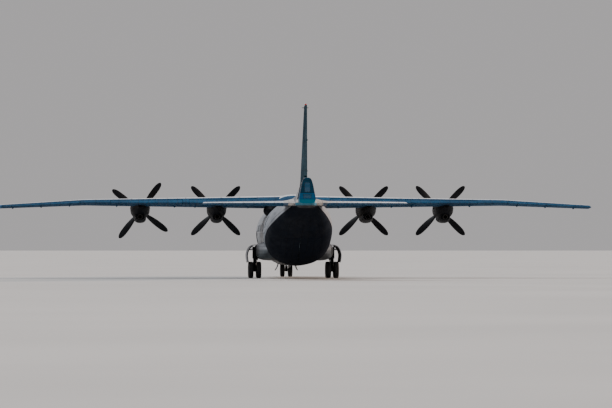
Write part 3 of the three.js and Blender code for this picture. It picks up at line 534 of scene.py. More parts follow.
# Finishes
class Finish:
    """A material under construction: short names for its nodes."""

    def __init__(self, name):
        self.material = bpy.data.materials.new(name)
        self.material.use_nodes = True
        self.tree = self.material.node_tree
        self.tree.nodes.clear()
        self.shader = self.node("ShaderNodeBsdfPrincipled")
        out = self.node("ShaderNodeOutputMaterial")
        self.tree.links.new(self.shader.outputs[0], out.inputs["Surface"])
        self.place = self.node("ShaderNodeTexCoord").outputs["Object"]
        split = self.node("ShaderNodeSeparateXYZ", Vector=self.place)
        self.x, self.y, self.z = split.outputs

    def node(self, kind, **inputs):
        made = self.tree.nodes.new(kind)
        for name, value in inputs.items():
            self.feed(made.inputs[name.replace("_", " ")], value)
        return made

    def feed(self, socket, value):
        if isinstance(value, bpy.types.NodeSocket):
            self.tree.links.new(value, socket)
        elif socket.type == "RGBA":
            socket.default_value = (*value[:3], 1)
        else:
            socket.default_value = value

    def math(self, operation, *values, clamp=False):
        made = self.tree.nodes.new("ShaderNodeMath")
        made.operation = operation
        made.use_clamp = clamp
        for socket, value in zip(made.inputs, values):
            self.feed(socket, value)
        return made.outputs[0]

    def times(self, first, second):
        return self.math("MULTIPLY", first, second)

    def plus(self, first, second):
        return self.math("ADD", first, second)

    def minus(self, first, second):
        return self.math("SUBTRACT", first, second)

    def spread(self, value, low, high, to_low=0.0, to_high=1.0):
        """A value's range from low to high, eased onto another range."""
        made = self.node(
            "ShaderNodeMapRange", Value=value, From_Min=low, From_Max=high, To_Min=to_low, To_Max=to_high)
        made.interpolation_type = "SMOOTHSTEP"
        return made.outputs["Result"]

    def noise(self, scale, detail=4.0, stretch=(1, 1, 1), roughness=0.55):
        where = self.node("ShaderNodeMapping", Vector=self.place)
        where.inputs["Scale"].default_value = stretch
        made = self.node(
            "ShaderNodeTexNoise", Vector=where.outputs[0], Scale=scale, Detail=detail, Roughness=roughness)
        return made.outputs["Fac"]

    def blend(self, factor, first, second, kind="MIX"):
        made = self.tree.nodes.new("ShaderNodeMix")
        made.data_type = "RGBA"
        made.blend_type = kind
        self.feed(made.inputs[0], factor)
        self.feed(made.inputs[6], first)
        self.feed(made.inputs[7], second)
        return made.outputs[2]

    def line(self, value, pitch, width, offset=0.0):
        """1 on thin lines at every pitch of a value, 0 between."""
        share = self.math("FRACT", self.math("DIVIDE", self.minus(value, offset), pitch))
        away = self.math("ABSOLUTE", self.minus(share, 0.5))
        half = width / pitch / 2
        return self.spread(away, 0.5 - 2 * half, 0.5 - half * 0.6)

    def cell(self, first, first_pitch, second, second_pitch):
        """A random value for each panel of a grid."""
        spots = [self.math("FLOOR", self.math("DIVIDE", v, p)) for v, p in
                 ((first, first_pitch), (second, second_pitch))]
        where = self.node("ShaderNodeCombineXYZ", X=spots[0], Y=spots[1])
        return self.node("ShaderNodeTexWhiteNoise", Vector=where.outputs[0]).outputs["Value"]

    def girth(self):
        """Distance round the body, from its starboard side."""
        middle = self.along_rows(station_of(self), [(row[0], row[4]) for row in BODY_ROWS.tolist()])
        up = self.minus(self.z, middle)
        return self.times(self.math("ARCTAN2", up, self.x), BODY_RADIUS)

    def along_rows(self, value, rows):
        """A value read off straight lines between rows of (at, value)."""
        ramp = self.tree.nodes.new("ShaderNodeFloatCurve")
        low, high = rows[0][0], rows[-1][0]
        curve = ramp.mapping.curves[0]
        for i, (at, height) in enumerate(rows):
            spot = ((at - low) / (high - low), height / CURVE_TOP)
            if i in (0, len(rows) - 1):
                curve.points[0 if i == 0 else -1].location = spot
            else:
                curve.points.new(*spot)
        for point in curve.points:
            point.handle_type = "VECTOR"
        ramp.mapping.update()
        share = self.math("DIVIDE", self.minus(value, low), high - low, clamp=True)
        self.feed(ramp.inputs["Value"], share)
        return self.times(ramp.outputs[0], CURVE_TOP)

    def done(self, colour, roughness, height=None, depth=0.01, metal=0.0, **constants):
        self.feed(self.shader.inputs["Base Color"], colour)
        self.feed(self.shader.inputs["Roughness"], roughness)
        self.shader.inputs["Metallic"].default_value = metal
        for name, value in constants.items():
            self.shader.inputs[name.replace("_", " ")].default_value = value
        if height is not None:
            bump = self.node("ShaderNodeBump", Height=height, Distance=depth, Strength=0.6)
            self.feed(self.shader.inputs["Normal"], bump.outputs[0])
        return self.material


CURVE_TOP = 10.0
SEAM_LINE, RIVET_BAND, RIVET_BAND_AWAY = 0.022, 0.05, 0.035
RIVET_PITCH, RIVET_SIZE = 0.06, 0.03


def station_of(finish):
    return finish.minus(LENGTH / 2, finish.y)


def painted(name, tone, worn, seams=(), zones=(), flow=(2.5, 0.25, 2.5), rough=(0.34, 0.58), metal=0.0,
            depth=0.006, grime=0.5, gloss=0.4):
    """Painted sheet metal: panels of slightly different tone, seams with rivet dots, streaks along the
    airflow, chalky patches and fine grain. A seam is a value, its pitch, and a value and pitch across it."""
    f = Finish(name)
    broad, fine = f.noise(0.45, 5), f.noise(30, 3)
    streak = f.noise(1.6, 5, stretch=flow)
    colour = f.blend(f.spread(broad, 0.38, 0.68, 0.0, 0.8), tone, worn)
    for test, other in zones:
        colour = f.blend(test(f), colour, other)
    height = f.times(fine, 0.25)
    for first, first_pitch, second, second_pitch in seams:
        a, b = first(f), second(f)
        tint = f.cell(a, first_pitch, b, second_pitch)
        colour = f.blend(f.times(tint, 0.35), colour, (0.62, 0.64, 0.68), "MULTIPLY")
        lines = f.math("MAXIMUM", f.line(a, first_pitch, SEAM_LINE), f.line(b, second_pitch, SEAM_LINE))
        beside = f.math(
            "MAXIMUM", *[f.line(v, pitch, RIVET_BAND, RIVET_BAND_AWAY)
                         for v, pitch in ((a, first_pitch), (b, second_pitch))])
        dots = f.times(f.line(a, RIVET_PITCH, RIVET_SIZE), f.line(b, RIVET_PITCH, RIVET_SIZE))
        heads = f.times(dots, beside)
        colour = f.blend(f.times(lines, 0.6), colour, (0.3, 0.3, 0.32), "MULTIPLY")
        colour = f.blend(f.times(heads, 0.5), colour, (0.5, 0.5, 0.5), "MULTIPLY")
        height = f.plus(f.minus(height, f.times(lines, 0.9)), f.times(heads, 0.5))
    colour = f.blend(f.spread(streak, 0.5, 0.78, 0.0, grime), colour, (0.36, 0.35, 0.34), "MULTIPLY")
    colour = f.blend(f.spread(fine, 0.6, 0.8, 0.0, 0.5), colour, (1.35, 1.35, 1.35), "MULTIPLY")
    shine = f.spread(f.plus(broad, f.times(streak, 0.6)), 0.55, 1.0, *rough)
    return f.done(colour, shine, height, depth, metal, Specular_IOR_Level=gloss)


# Paint tones, some of them painted shade and painted highlight
PALE = (0.33, 0.34, 0.36)
PALE_WORN = (0.25, 0.265, 0.29)
# painted shade: the darker tone of the lower body sides and the sponsons
SHADED_LOW_SIDE = (0.10, 0.125, 0.14)
# painted shade: near-black navy for the undersides of body, cargo doors and tail fairings, which face the dark ground
NAVY = (0.0035, 0.006, 0.012)
NAVY_WORN = (0.006, 0.010, 0.018)
# painted shade: dark teal stands for the shaded light paint of wings, tail surfaces, hump and fairing tips
TEAL = (0.003, 0.068, 0.155)
TEAL_WORN = (0.003, 0.042, 0.10)
STEEL_BLUE = (0.03, 0.11, 0.23)
# painted highlight: near white where the low sun catches the upper sides of wing, tail and hump
CREST_HIGHLIGHT = (0.78, 0.79, 0.81)
CREAM = (0.72, 0.67, 0.62)
CREAM_WORN = (0.60, 0.56, 0.53)
# painted shade: the fin and rudder take a dark slate shadow tone
SLATE = (0.008, 0.042, 0.062)
SLATE_WORN = (0.006, 0.026, 0.042)
# painted shade: the tail cabin's blues are shadow tones of its paint
CABIN_DARK = (0.003, 0.055, 0.11)
CABIN_DARK_WORN = (0.002, 0.038, 0.08)
CABIN_BAND = (0.002, 0.11, 0.26)
CABIN_FOOT = (0.004, 0.17, 0.27)
COAL = (0.0045, 0.005, 0.0075)
COAL_WORN = (0.009, 0.010, 0.013)
BARE = (0.42, 0.44, 0.47)

# Height of the edge between the pale sides and the painted shade of the underside, by station
BELLY_EDGE = [
    (0, 1.05), (4, 1.0), (10, 1.15), (18.4, 1.3), (19.6, 2.0), (20.6, 2.62), (24, 3.16), (26, 3.47),
    (28.7, 4.06), (30.2, 4.44), (31.3, 4.45), (33.1, 4.45),
]
CABIN_FRAMES = (4.8, 5.17)
CABIN_FRONT = 32.5  # the blue of the tail cabin starts here


# painted shade: 1 below the edge, where the underside takes the navy shadow tone
def shaded_underside(f):
    edge = f.along_rows(station_of(f), BELLY_EDGE)
    wavy = f.times(f.minus(f.noise(2.5, 3), 0.5), 0.05)
    return f.spread(f.plus(f.minus(edge, f.z), wavy), -0.03, 0.03)


def low_side(f):
    """1 on the lower half of the body, where painted shade darkens the paint."""
    wavy = f.times(f.minus(f.noise(1.1, 4, stretch=(1, 0.5, 2)), 0.5), 1.3)
    return f.times(f.spread(f.plus(f.z, wavy), 3.05, 2.15), 0.85)


def span_share(f, lead, lead_run, chord, chord_run, half_span):
    """How far aft a point lies on a tapered surface, as a share of the chord there."""
    span = f.math("DIVIDE", f.math("ABSOLUTE", f.x), half_span)
    front = f.plus(lead, f.times(span, lead_run))
    length = f.plus(chord, f.times(span, chord_run))
    return f.math("DIVIDE", f.minus(station_of(f), front), length)


def wing_share(f):
    lead_run = WING_TRAIL - WING_TIP_CHORD - WING_LEAD
    return span_share(f, WING_LEAD, lead_run, WING_TRAIL - WING_LEAD, -lead_run, HALF_SPAN)


def lit_wing_front(f):
    """1 on the front of the wing's upper side, which takes a painted highlight of the low sun."""
    past_joint = f.minus(f.math("ABSOLUTE", f.x), WING_OUTER_JOINT)
    droop = f.times(f.math("MAXIMUM", past_joint, 0.0), WING_DROOP)
    top = f.spread(f.plus(f.z, droop), WING_PLANE - 0.03, WING_PLANE + 0.05)
    return f.times(f.spread(wing_share(f), 0.545, 0.53), top)


def wing_edge(f):
    """1 on the heated strip along the leading edge, which is bare metal."""
    return f.spread(wing_share(f), 0.035, 0.03)


def wing_patches(f):
    """1 on some lengths of the wing that were painted again in a lighter blue."""
    return f.spread(f.cell(f.x, 3.1, f.y, 40.0), 0.68, 0.72)


def tail_share(f):
    lead_run, chord_run = TAIL_LEAD[1] - TAIL_LEAD[0], TAIL_CHORD[1] - TAIL_CHORD[0]
    return span_share(f, TAIL_LEAD[0], lead_run, TAIL_CHORD[0], chord_run, TAIL_HALF_SPAN)


def tail_edge(f):
    return f.spread(tail_share(f), 0.045, 0.04)


def soot(f):
    """1 in the streaks behind the four exhausts, under the wing."""
    away = [f.math("ABSOLUTE", f.minus(f.math("ABSOLUTE", f.x), x)) for x in (ENGINE_INNER, ENGINE_OUTER)]
    near = f.spread(f.math("MINIMUM", *away), 0.55, 0.1)
    ragged = f.spread(f.noise(2.2, 4, stretch=(4, 0.5, 1)), 0.3, 0.6)
    under = f.times(near, ragged)
    return f.times(under, f.spread(f.z, WING_PLANE, WING_PLANE - 0.12, 0, 0.8))


# painted highlight on the tailplane's upper side
def tail_top(f):
    return f.spread(f.z, TAIL_PLANE, TAIL_PLANE + 0.02)


def elevator_top(f):
    """1 on the upper side of the elevators, apart from a strip along the trailing edge, for a painted highlight."""
    return f.times(tail_top(f), f.spread(tail_share(f), 0.94, 0.92))


def cabin_band(low, high):
    def test(f):
        return f.times(f.spread(f.z, low - 0.01, low + 0.01), f.spread(f.z, high + 0.01, high - 0.01))
    return test


def cabin_side(f):
    ahead = f.spread(station_of(f), CABIN_FRONT + 0.01, CABIN_FRONT - 0.01)
    return f.times(ahead, f.spread(f.z, 4.6, 4.64))


# painted highlight on the front of the wing hump
def hump_front(f):
    return f.spread(station_of(f), 15.21, 15.19)


def shaded_fairing_foot(f):
    """1 on the underside of the tailplane's root fairings, which takes painted shade."""
    return f.spread(f.z, 4.47, 4.45)


def shaded_fairing_tip(f):
    """1 on the outer ends of the root fairings, under the line of the tailplane, which take painted shade."""
    outer = f.spread(f.math("ABSOLUTE", f.x), 1.02, 1.05)
    return f.times(outer, f.spread(f.z, 4.62, 4.6))


def well_shadow(f):
    """1 on the lower outer wall of the sponsons, in a ragged band: a painted shadow."""
    ragged = f.times(f.minus(f.noise(5, 5), 0.5), 0.1)
    outer = f.spread(f.plus(f.math("ABSOLUTE", f.x), ragged), 2.2, 2.38)
    return f.times(outer, f.spread(f.plus(f.z, ragged), 2.25, 1.85, 0, 0.8))


# painted light: the sponson's top keeps the pale paint where light falls, its sides take the lower sides' shade tone
def lit_sponson_top(f):
    return f.spread(f.z, 1.7, 1.95)


# Directions that seams are measured in
along, across, upward, round_body = station_of, attrgetter("x"), attrgetter("z"), Finish.girth

BODY_SEAMS = [(along, 1.06, round_body, 1.07)]
WING_SEAMS = [(across, 1.15, along, 0.96)]
TAIL_SEAMS = [(upward, 0.82, along, 0.9)]
FLAP_SEAMS = [(across, 0.62, along, 3.1)]
DOOR_SEAMS = [(along, 0.8, upward, 0.5)]
WING_ZONES = [(wing_patches, STEEL_BLUE), (soot, COAL), (lit_wing_front, CREST_HIGHLIGHT), (wing_edge, BARE)]
SIDE_ZONES = [(low_side, SHADED_LOW_SIDE), (shaded_underside, NAVY)]
SIDE_FLOW = (2.2, 0.3, 2.2)
MATT = (0.6, 0.8)
WING_WEAR = dict(flow=(3, 0.3, 3), rough=MATT, gloss=0.08)

BODY_PAINT = painted("body_paint", PALE, PALE_WORN, BODY_SEAMS, SIDE_ZONES, flow=SIDE_FLOW)
# painted shade: the cargo doors under the rear body take the navy shadow tone
BELLY_SHADE_PAINT = painted(
    "belly_shade_paint", NAVY, NAVY_WORN, [(along, 0.62, across, 0.42)], rough=MATT, grime=0.3, gloss=0.03)
REAR_PAINT = painted(
    "rear_body_paint", PALE, PALE_WORN, BODY_SEAMS, SIDE_ZONES, flow=SIDE_FLOW, rough=MATT, gloss=0.03)
# painted shade and highlight: the teal shadow tone with crest highlights on wings and tail
WING_PAINT = painted("wing_paint", TEAL, TEAL_WORN, WING_SEAMS, WING_ZONES, **WING_WEAR)
FLAP_PAINT = painted("flap_paint", TEAL, TEAL_WORN, FLAP_SEAMS, WING_ZONES[:2], **WING_WEAR)
TAIL_PAINT = painted(
    "tail_paint", TEAL, TEAL_WORN, WING_SEAMS, [(tail_top, CREST_HIGHLIGHT), (tail_edge, BARE)], **WING_WEAR)
ELEVATOR_PAINT = painted(
    "elevator_paint", TEAL, TEAL_WORN, FLAP_SEAMS, [(wing_patches, STEEL_BLUE), (elevator_top, CREST_HIGHLIGHT)],
    **WING_WEAR)
# painted shade: fin and rudder in the slate shadow tone
FIN_PAINT = painted(
    "fin_paint", SLATE, SLATE_WORN, TAIL_SEAMS, flow=(2.5, 0.3, 2.5), rough=MATT, gloss=0.08)
# painted shade: the tail cabin in blue shadow tones, with the navy underside
CABIN_PAINT = painted(
    "tail_cabin_paint", CABIN_DARK, CABIN_DARK_WORN, [(along, 0.6, upward, 0.37)],
    [(cabin_band(4.45, CABIN_FRAMES[0]), CABIN_FOOT), (cabin_band(*CABIN_FRAMES), CABIN_BAND),
     (cabin_side, CREAM_WORN), (shaded_underside, NAVY)], gloss=0.15)
# painted shade on the fairings' undersides and outer ends
CREAM_PAINT = painted(
    "fairing_paint", CREAM, CREAM_WORN, [(along, 0.7, across, 0.5)],
    [(shaded_fairing_tip, TEAL), (shaded_fairing_foot, NAVY)], grime=0.2)
# painted shade and highlight: the hump in the teal shadow tone, its front in the crest highlight
HUMP_PAINT = painted("wing_hump_paint", TEAL, TEAL_WORN, WING_SEAMS, [(hump_front, CREST_HIGHLIGHT)], **WING_WEAR)
DOOR_PAINT = painted("gear_door_paint", PALE, PALE_WORN, DOOR_SEAMS, flow=SIDE_FLOW)
# painted shade: sponsons in the shade tone of the lower sides, pale on top where lit
SPONSON_PAINT = painted(
    "sponson_paint", SHADED_LOW_SIDE, NAVY_WORN, DOOR_SEAMS, [(lit_sponson_top, PALE), (well_shadow, COAL)],
    flow=SIDE_FLOW)
# painted shade: near-black stands for the shaded paint of the engine pods, their slats and the root ducts
POD_PAINT = painted("pod_paint", COAL, COAL_WORN, [(along, 0.72, upward, 0.36)], rough=(0.5, 0.7), gloss=0.05)
RADOME_PAINT = painted("radome_paint", (0.03, 0.032, 0.038), (0.05, 0.052, 0.058), rough=(0.5, 0.7))
CABIN_GREEN = painted("cabin_green", (0.16, 0.21, 0.19), (0.11, 0.15, 0.14), [(across, 0.46, along, 0.9)])
FLOOR_METAL = painted(
    "hold_floor_metal", (0.21, 0.22, 0.22), (0.12, 0.13, 0.13), [(across, 0.46, along, 1.2)], metal=0.6)
GEAR_PAINT = painted("gear_paint", (0.30, 0.31, 0.32), (0.2, 0.21, 0.22), rough=(0.35, 0.6), depth=0.002)
GEAR_DARK = painted(
    "gear_shadow_paint", (0.014, 0.015, 0.018), (0.026, 0.027, 0.03), rough=(0.4, 0.65), depth=0.002,
    gloss=0.1)
# painted shade: near-black inside wheel wells, the nose bay and intake mouths, with real soot inside exhaust pipes
CAVITY = painted("cavity_paint", (0.006, 0.0065, 0.008), (0.012, 0.012, 0.014), rough=MATT, gloss=0.1)


def blade_finish():
    """Black painted blades, worn to metal along the front edge by grit."""
    f = Finish("blade_black")
    broad, fine = f.noise(1.8, 4), f.noise(60, 3)
    colour = f.blend(f.spread(broad, 0.4, 0.7), COAL, COAL_WORN)
    edge = f.node("ShaderNodeNewGeometry").outputs["Pointiness"]
    bare = f.times(f.spread(edge, 0.53, 0.6), f.spread(fine, 0.4, 0.65))
    colour = f.blend(f.times(bare, 0.7), colour, (0.3, 0.3, 0.31))
    shine = f.spread(fine, 0.3, 0.7, 0.45, 0.65)
    return f.done(colour, shine, f.times(fine, 0.3), 0.002, Specular_IOR_Level=0.15)


def steel_finish(name, tone, rough, grain=(40, 40, 2)):
    f = Finish(name)
    brush = f.noise(6, 4, stretch=grain)
    stain = f.noise(7, 4)
    colour = f.blend(f.spread(stain, 0.45, 0.75, 0.0, 0.6), tone, tuple(v * 0.5 for v in tone))
    return f.done(colour, f.spread(brush, 0.3, 0.7, rough, rough + 0.2), brush, 0.001, 0.95)


def rubber_finish():
    """Tyre rubber: dusty shoulders, scuffed crown."""
    f = Finish("tyre_rubber")
    dust, fine = f.noise(6, 5), f.noise(80, 4)
    colour = f.blend(f.spread(dust, 0.45, 0.72, 0.0, 0.5), (0.011, 0.011, 0.013), (0.05, 0.046, 0.042))
    colour = f.blend(f.spread(fine, 0.6, 0.8, 0.0, 0.3), colour, (0.07, 0.066, 0.06))
    return f.done(colour, f.spread(dust, 0.3, 0.7, 0.7, 0.92), fine, 0.003)


def glass_finish(name, tint, strength, dust=0.3):
    """Window glass: tinted, with a film of dust and faint waviness."""
    f = Finish(name)
    film, ripple = f.noise(3, 4), f.noise(1.4, 2)
    colour = f.blend(f.spread(film, 0.5, 0.8, 0.0, dust), tint, (0.5, 0.53, 0.55))
    return f.done(
        colour, f.spread(film, 0.4, 0.8, 0.04, 0.18), ripple, 0.004,
        Transmission_Weight=strength, IOR=1.45, Specular_IOR_Level=0.6)


def cloth_finish():
    f = Finish("seat_cloth")
    weave = f.times(f.line(f.x, 0.012, 0.005), f.line(f.z, 0.012, 0.005))
    fade = f.noise(5, 4)
    colour = f.blend(f.spread(fade, 0.4, 0.7), (0.05, 0.055, 0.05), (0.09, 0.095, 0.085))
    colour = f.blend(f.times(weave, 0.4), colour, (0.02, 0.02, 0.02))
    return f.done(colour, f.spread(fade, 0.3, 0.7, 0.75, 0.95), weave, 0.002, Sheen_Weight=0.3)


BLADE = blade_finish()
STEEL = steel_finish("bright_steel", (0.55, 0.56, 0.58), 0.18)
DARK_STEEL = steel_finish("heat_stained_steel", (0.10, 0.09, 0.085), 0.4)
RUBBER = rubber_finish()
GLASS = glass_finish("window_glass", (0.3, 0.42, 0.46), 0.85, 0.12)
TAIL_GLASS = glass_finish("tail_window_glass", (0.004, 0.10, 0.21), 0.2, 0.06)
RED_GLASS = glass_finish("red_glass", (0.75, 0.03, 0.02), 0.35)
GREEN_GLASS = glass_finish("green_glass", (0.02, 0.5, 0.15), 0.35)
LAMP_GLASS = glass_finish("lamp_glass", (0.85, 0.85, 0.8), 0.4)
SEAL = painted("window_seal", (0.02, 0.022, 0.026), (0.035, 0.037, 0.04), rough=MATT, depth=0.001)
CLOTH = cloth_finish()

# Body
body_row = smooth_rows(BODY_ROWS)


def body_points(station, degrees, inset=0.0, reach=1.0):
    """Points of a body section at angles, 0 to starboard and 90 up."""
    half, bottom, top, middle, low, high, narrow, _ = body_row(station)
    angle = np.radians(np.asarray(degrees, float))
    square = np.where(np.sin(angle) < 0, low, high)
    rise = signed_power(np.sin(angle), 2 / square)
    side = signed_power(np.cos(angle), 2 / square) * (1 - narrow * rise)
    height = np.where(rise < 0, middle - bottom - inset, top - middle - inset)
    return np.stack([
        side * (half - inset) * reach, np.full(angle.shape, y(station)), middle + rise * height * reach,
    ], axis=-1)


def body_ring(station, inset=0.0, sides=BODY_SIDES):
    return body_points(station, np.arange(sides) * 360 / sides, inset)


def body_stations(front, back):
    step = 0.07 if back <= NOSE_JOINT else 0.25
    if front >= COCKPIT_JOINT and back <= CENTRE_JOINT:
        step = 1.0
    return stations_between(front, back, step, BODY_ROWS[:, 0])


def body_loft(front, back, grow=0.0, sides=BODY_SIDES):
    return loft([body_ring(s, -grow, sides) for s in body_stations(front, back)])


END_WALL = 0.06


def body_tube(front, back, closed_front=False, closed_back=False):
    """A length of body wall."""
    outer = body_loft(front, back)
    first = front + END_WALL if closed_front else front - 0.1
    last = back - END_WALL if closed_back else back + 0.1
    inner = loft([body_ring(s, body_row(s)[-1]) for s in body_stations(first, last)])
    return cut(outer, inner)


def body_spot(station, degrees, lift=0.0):
    """A point of the skin and the direction out of it."""
    here = body_points(station, [degrees])[0]
    round_it = body_points(station, [degrees + 0.5])[0] - here
    back_along = body_points(station + 0.02, [degrees])[0] - body_points(station - 0.02, [degrees])[0]
    out = np.cross(back_along, round_it)
    out /= np.linalg.norm(out)
    if np.dot(out, here - np.array([0, here[1], body_row(station)[3]])) < 0:
        out = -out
    return here + out * lift, out


def sector_cutter(front, back, start, end, steps=8):
    angles = np.linspace(start, end, steps + 1)
    return loft([
        np.vstack([body_points(s, angles, 0, 1.3), body_points(s, angles[::-1], 0, 0.6)])
        for s in stations_between(front, back, 0.1)])


def sector_plate(front, back, start, end, inset, thick, steps=8):
    """A curved plate that follows the skin."""
    angles = np.linspace(start, end, steps + 1)
    return loft([
        np.vstack([body_points(s, angles, inset), body_points(s, angles[::-1], inset + thick)])
        for s in stations_between(front, back, 0.1)])


def sector_rim(front, back, start, end, lift, radius, steps=8):
    """A bead round a window, on the skin."""
    angles = np.linspace(start, end, steps + 1)
    stations = stations_between(front, back, 0.1)
    edge = [body_spot(front, a, lift)[0] for a in angles]
    edge += [body_spot(s, end, lift)[0] for s in stations[1:-1]]
    edge += [body_spot(back, a, lift)[0] for a in angles[::-1]]
    edge += [body_spot(s, start, lift)[0] for s in stations[-2:0:-1]]
    return tube(edge, radius, 6, closed=True)


NOSE_PANES = [
    (front, back, i * 45 + 2.5, i * 45 + 42.5)
    for front, back in ((0.17, 0.42), (0.48, 1.02)) for i in range(8)
]
COCKPIT_PANES = [
    (2.02, 2.79, 31, 47), (2.02, 2.79, 50, 68), (2.02, 2.79, 71, 88.5), (2.02, 2.79, 91.5, 109),
    (2.02, 2.79, 112, 130), (2.02, 2.79, 133, 149), (2.88, 3.46, 28, 42), (2.88, 3.46, 138, 152),
]
TAIL_PANES = [(31.9, 32.9, -12, 22), (31.9, 32.9, 28, 62), (31.9, 32.9, 118, 152), (31.9, 32.9, 158, 192)]
TAIL_EYES = [(-0.17, 0.17, 5.23, 5.8), (-0.25, 0.25, 4.86, 5.11)]
NOSE_EYE_RADIUS = 0.19
# station and angle of the round side windows
PORTHOLES = [(station, degrees) for station in (8.1, 9.6, 12.1, 17.2) for degrees in (9.8, 170.2)]
PORTHOLE_RADIUS = 0.19


PANE_GAP, PANE_GAP_DEGREES, PANE_INSET, PANE_THICK = 0.004, 0.15, 0.022, 0.014


def windows(name, node, panes, glass, extra=(), extra_rims=()):
    """The panes of one window group, and the beads that hold them."""
    plates = [
        sector_plate(front + PANE_GAP, back - PANE_GAP, start + PANE_GAP_DEGREES, end - PANE_GAP_DEGREES,
                     PANE_INSET, PANE_THICK) for front, back, start, end in panes]
    dress(plates + list(extra), f"{name}_panes", glass, "glazing", stands_for=node)
    rims = [sector_rim(*pane, 0.001, 0.016) for pane in panes]
    dress(rims + list(extra_rims), f"{name}_window_seals", SEAL, "body_skin")


def plate_rim(corners, radius):
    """A bead round a flat window with the corners given."""
    path = []
    for a, b in zip(corners, corners[1:] + corners[:1]):
        path += [np.array(a) + (np.array(b) - np.array(a)) * t for t in (0.02, 0.25, 0.5, 0.75, 0.98)]
    return tube(path, radius, 6, closed=True)


def lined(shape):
    """Gives the inner faces of a length of body the finish of its lining."""
    def faces_in(centre, normal):
        rise = centre.z - body_row(LENGTH / 2 - centre.y)[3]
        return normal.x * centre.x + normal.z * rise < -0.3 * math.hypot(centre.x, rise)

    second_finish(shape, faces_in)
    return shape


LINED_BODY = [BODY_PAINT, CABIN_GREEN]
nose_shell = cut(
    body_tube(0.0, NOSE_JOINT - JOINT_GAP, closed_front=True),
    *[sector_cutter(*pane) for pane in NOSE_PANES],
    rod((0, y(-0.1), NOSE_MIDDLE), (0, y(0.3), NOSE_MIDDLE), NOSE_EYE_RADIUS, 48))
dress(lined(nose_shell), "nose_frame_skin", LINED_BODY, "body_skin", stands_for="nose_frame")
eye_angles = np.radians(np.arange(0, 360, 10))
eye_rim = tube(
    [(NOSE_EYE_RADIUS * math.cos(a), y(0.012), NOSE_MIDDLE + NOSE_EYE_RADIUS * math.sin(a))
     for a in eye_angles], 0.014, 6, closed=True)
eye_glass = lathe(
    [(0, 0), (0.1, -0.004), (0.186, -0.016), (0.186, -0.03), (0, -0.02)],
    (0, y(0.02), NOSE_MIDDLE), (0, 1, 0), 40)
windows("nose", "nose_glass", NOSE_PANES, GLASS, [eye_glass], [eye_rim])

nose_bay_hole = block((-BAY_HALF, y(BAY_BACK), 0.6), (BAY_HALF, y(BAY_FRONT), BAY_ROOF - 0.2))
cockpit_shell = cut(
    body_tube(NOSE_JOINT + JOINT_GAP, COCKPIT_JOINT - JOINT_GAP),
    *[sector_cutter(*pane) for pane in COCKPIT_PANES], nose_bay_hole)
dress(lined(cockpit_shell), "cockpit_skin", LINED_BODY, "body_skin", stands_for="cockpit_shell")
windows("cockpit", "cockpit_glass", COCKPIT_PANES, GLASS)


def port_cutter(spot, out, radius, sides):
    return rod(spot - out * 0.3, spot + out * 0.2, radius, sides)


def porthole_cutters(front, back):
    holes = [hole for hole in PORTHOLES if front < hole[0] < back]
    return [port_cutter(*body_spot(*hole), PORTHOLE_RADIUS, 40) for hole in holes]


def rounded(outline_low, outline_high, radius, steps=6):
    """A rectangle with round corners, as points."""
    (a, b), (c, d) = outline_low, outline_high
    points = []
    for centre, start in (((c - radius, d - radius), 0), ((a + radius, d - radius), 90),
                          ((a + radius, b + radius), 180), ((c - radius, b + radius), 270)):
        for i in range(steps + 1):
            angle = math.radians(start + 90 * i / steps)
            points.append((centre[0] + radius * math.cos(angle), centre[1] + radius * math.sin(angle)))
    return points


CREW_DOOR, CREW_DOOR_HEIGHTS = (5.9, 6.76), (1.62, 2.98)
CREW_WINDOW, CREW_WINDOW_RADIUS = (6.33, 182), 0.13


def crew_prism(shrink, head_shrink):
    low = (y(CREW_DOOR[1]) + shrink, CREW_DOOR_HEIGHTS[0] + shrink)
    high = (y(CREW_DOOR[0]) - shrink, CREW_DOOR_HEIGHTS[1] - head_shrink)
    outline = rounded(low, high, 0.14)
    return loft([[(x, a, b) for a, b in outline] for x in (-3.0, -1.2)])


forward_tube = body_tube(COCKPIT_JOINT + JOINT_GAP, FORWARD_JOINT - JOINT_GAP)
crew_door = common(copied(forward_tube), crew_prism(SEAM, SKIN_GAP))
door_window = body_spot(*CREW_WINDOW)
crew_door = cut(crew_door, port_cutter(*door_window, CREW_WINDOW_RADIUS, 32))
dress(lined(crew_door), "crew_door_skin", LINED_BODY, "body_skin", body="crew_door", stands_for="crew_door")
forward_shell = cut(
    forward_tube, crew_prism(0.0, 0.0), *porthole_cutters(COCKPIT_JOINT, FORWARD_JOINT))
dress(lined(forward_shell), "forward_skin", LINED_BODY, "body_skin", stands_for="forward_shell")


def port_glass(spot, out, radius):
    edge = radius - 0.002
    return lathe(
        [(0, -0.008), (radius * 0.6, -0.012), (edge, -0.024), (edge, -0.036), (0, -0.028)], spot, out, 32)


def port_rim(spot, out, radius):
    """A raised ring round a porthole, a little below and above the skin."""
    return lathe([
        (radius - 0.004, -0.03), (radius - 0.004, 0.006), (radius + 0.012, 0.012),
        (radius + 0.04, 0.006), (radius + 0.045, -0.03), (radius - 0.004, -0.03),
    ], spot, out, 40)


spots = [body_spot(*hole) for hole in PORTHOLES]
dress([port_glass(*s, PORTHOLE_RADIUS) for s in spots], "porthole_glass", GLASS, "glazing")
dress([port_rim(*s, PORTHOLE_RADIUS) for s in spots], "porthole_rims", SEAL, "body_skin")
dress(port_glass(*door_window, CREW_WINDOW_RADIUS), "crew_door_glass", GLASS, "glazing", body="crew_door")
grip = [body_spot(s, 191, lift)[0] for s, lift in ((6.62, 0.0), (6.62, 0.035), (6.48, 0.035), (6.48, 0.0))]
handle = [port_rim(*door_window, CREW_WINDOW_RADIUS), tube(grip, 0.012, 8)]
dress(handle, "crew_door_handle", GEAR_PAINT, "body_skin", body="crew_door")


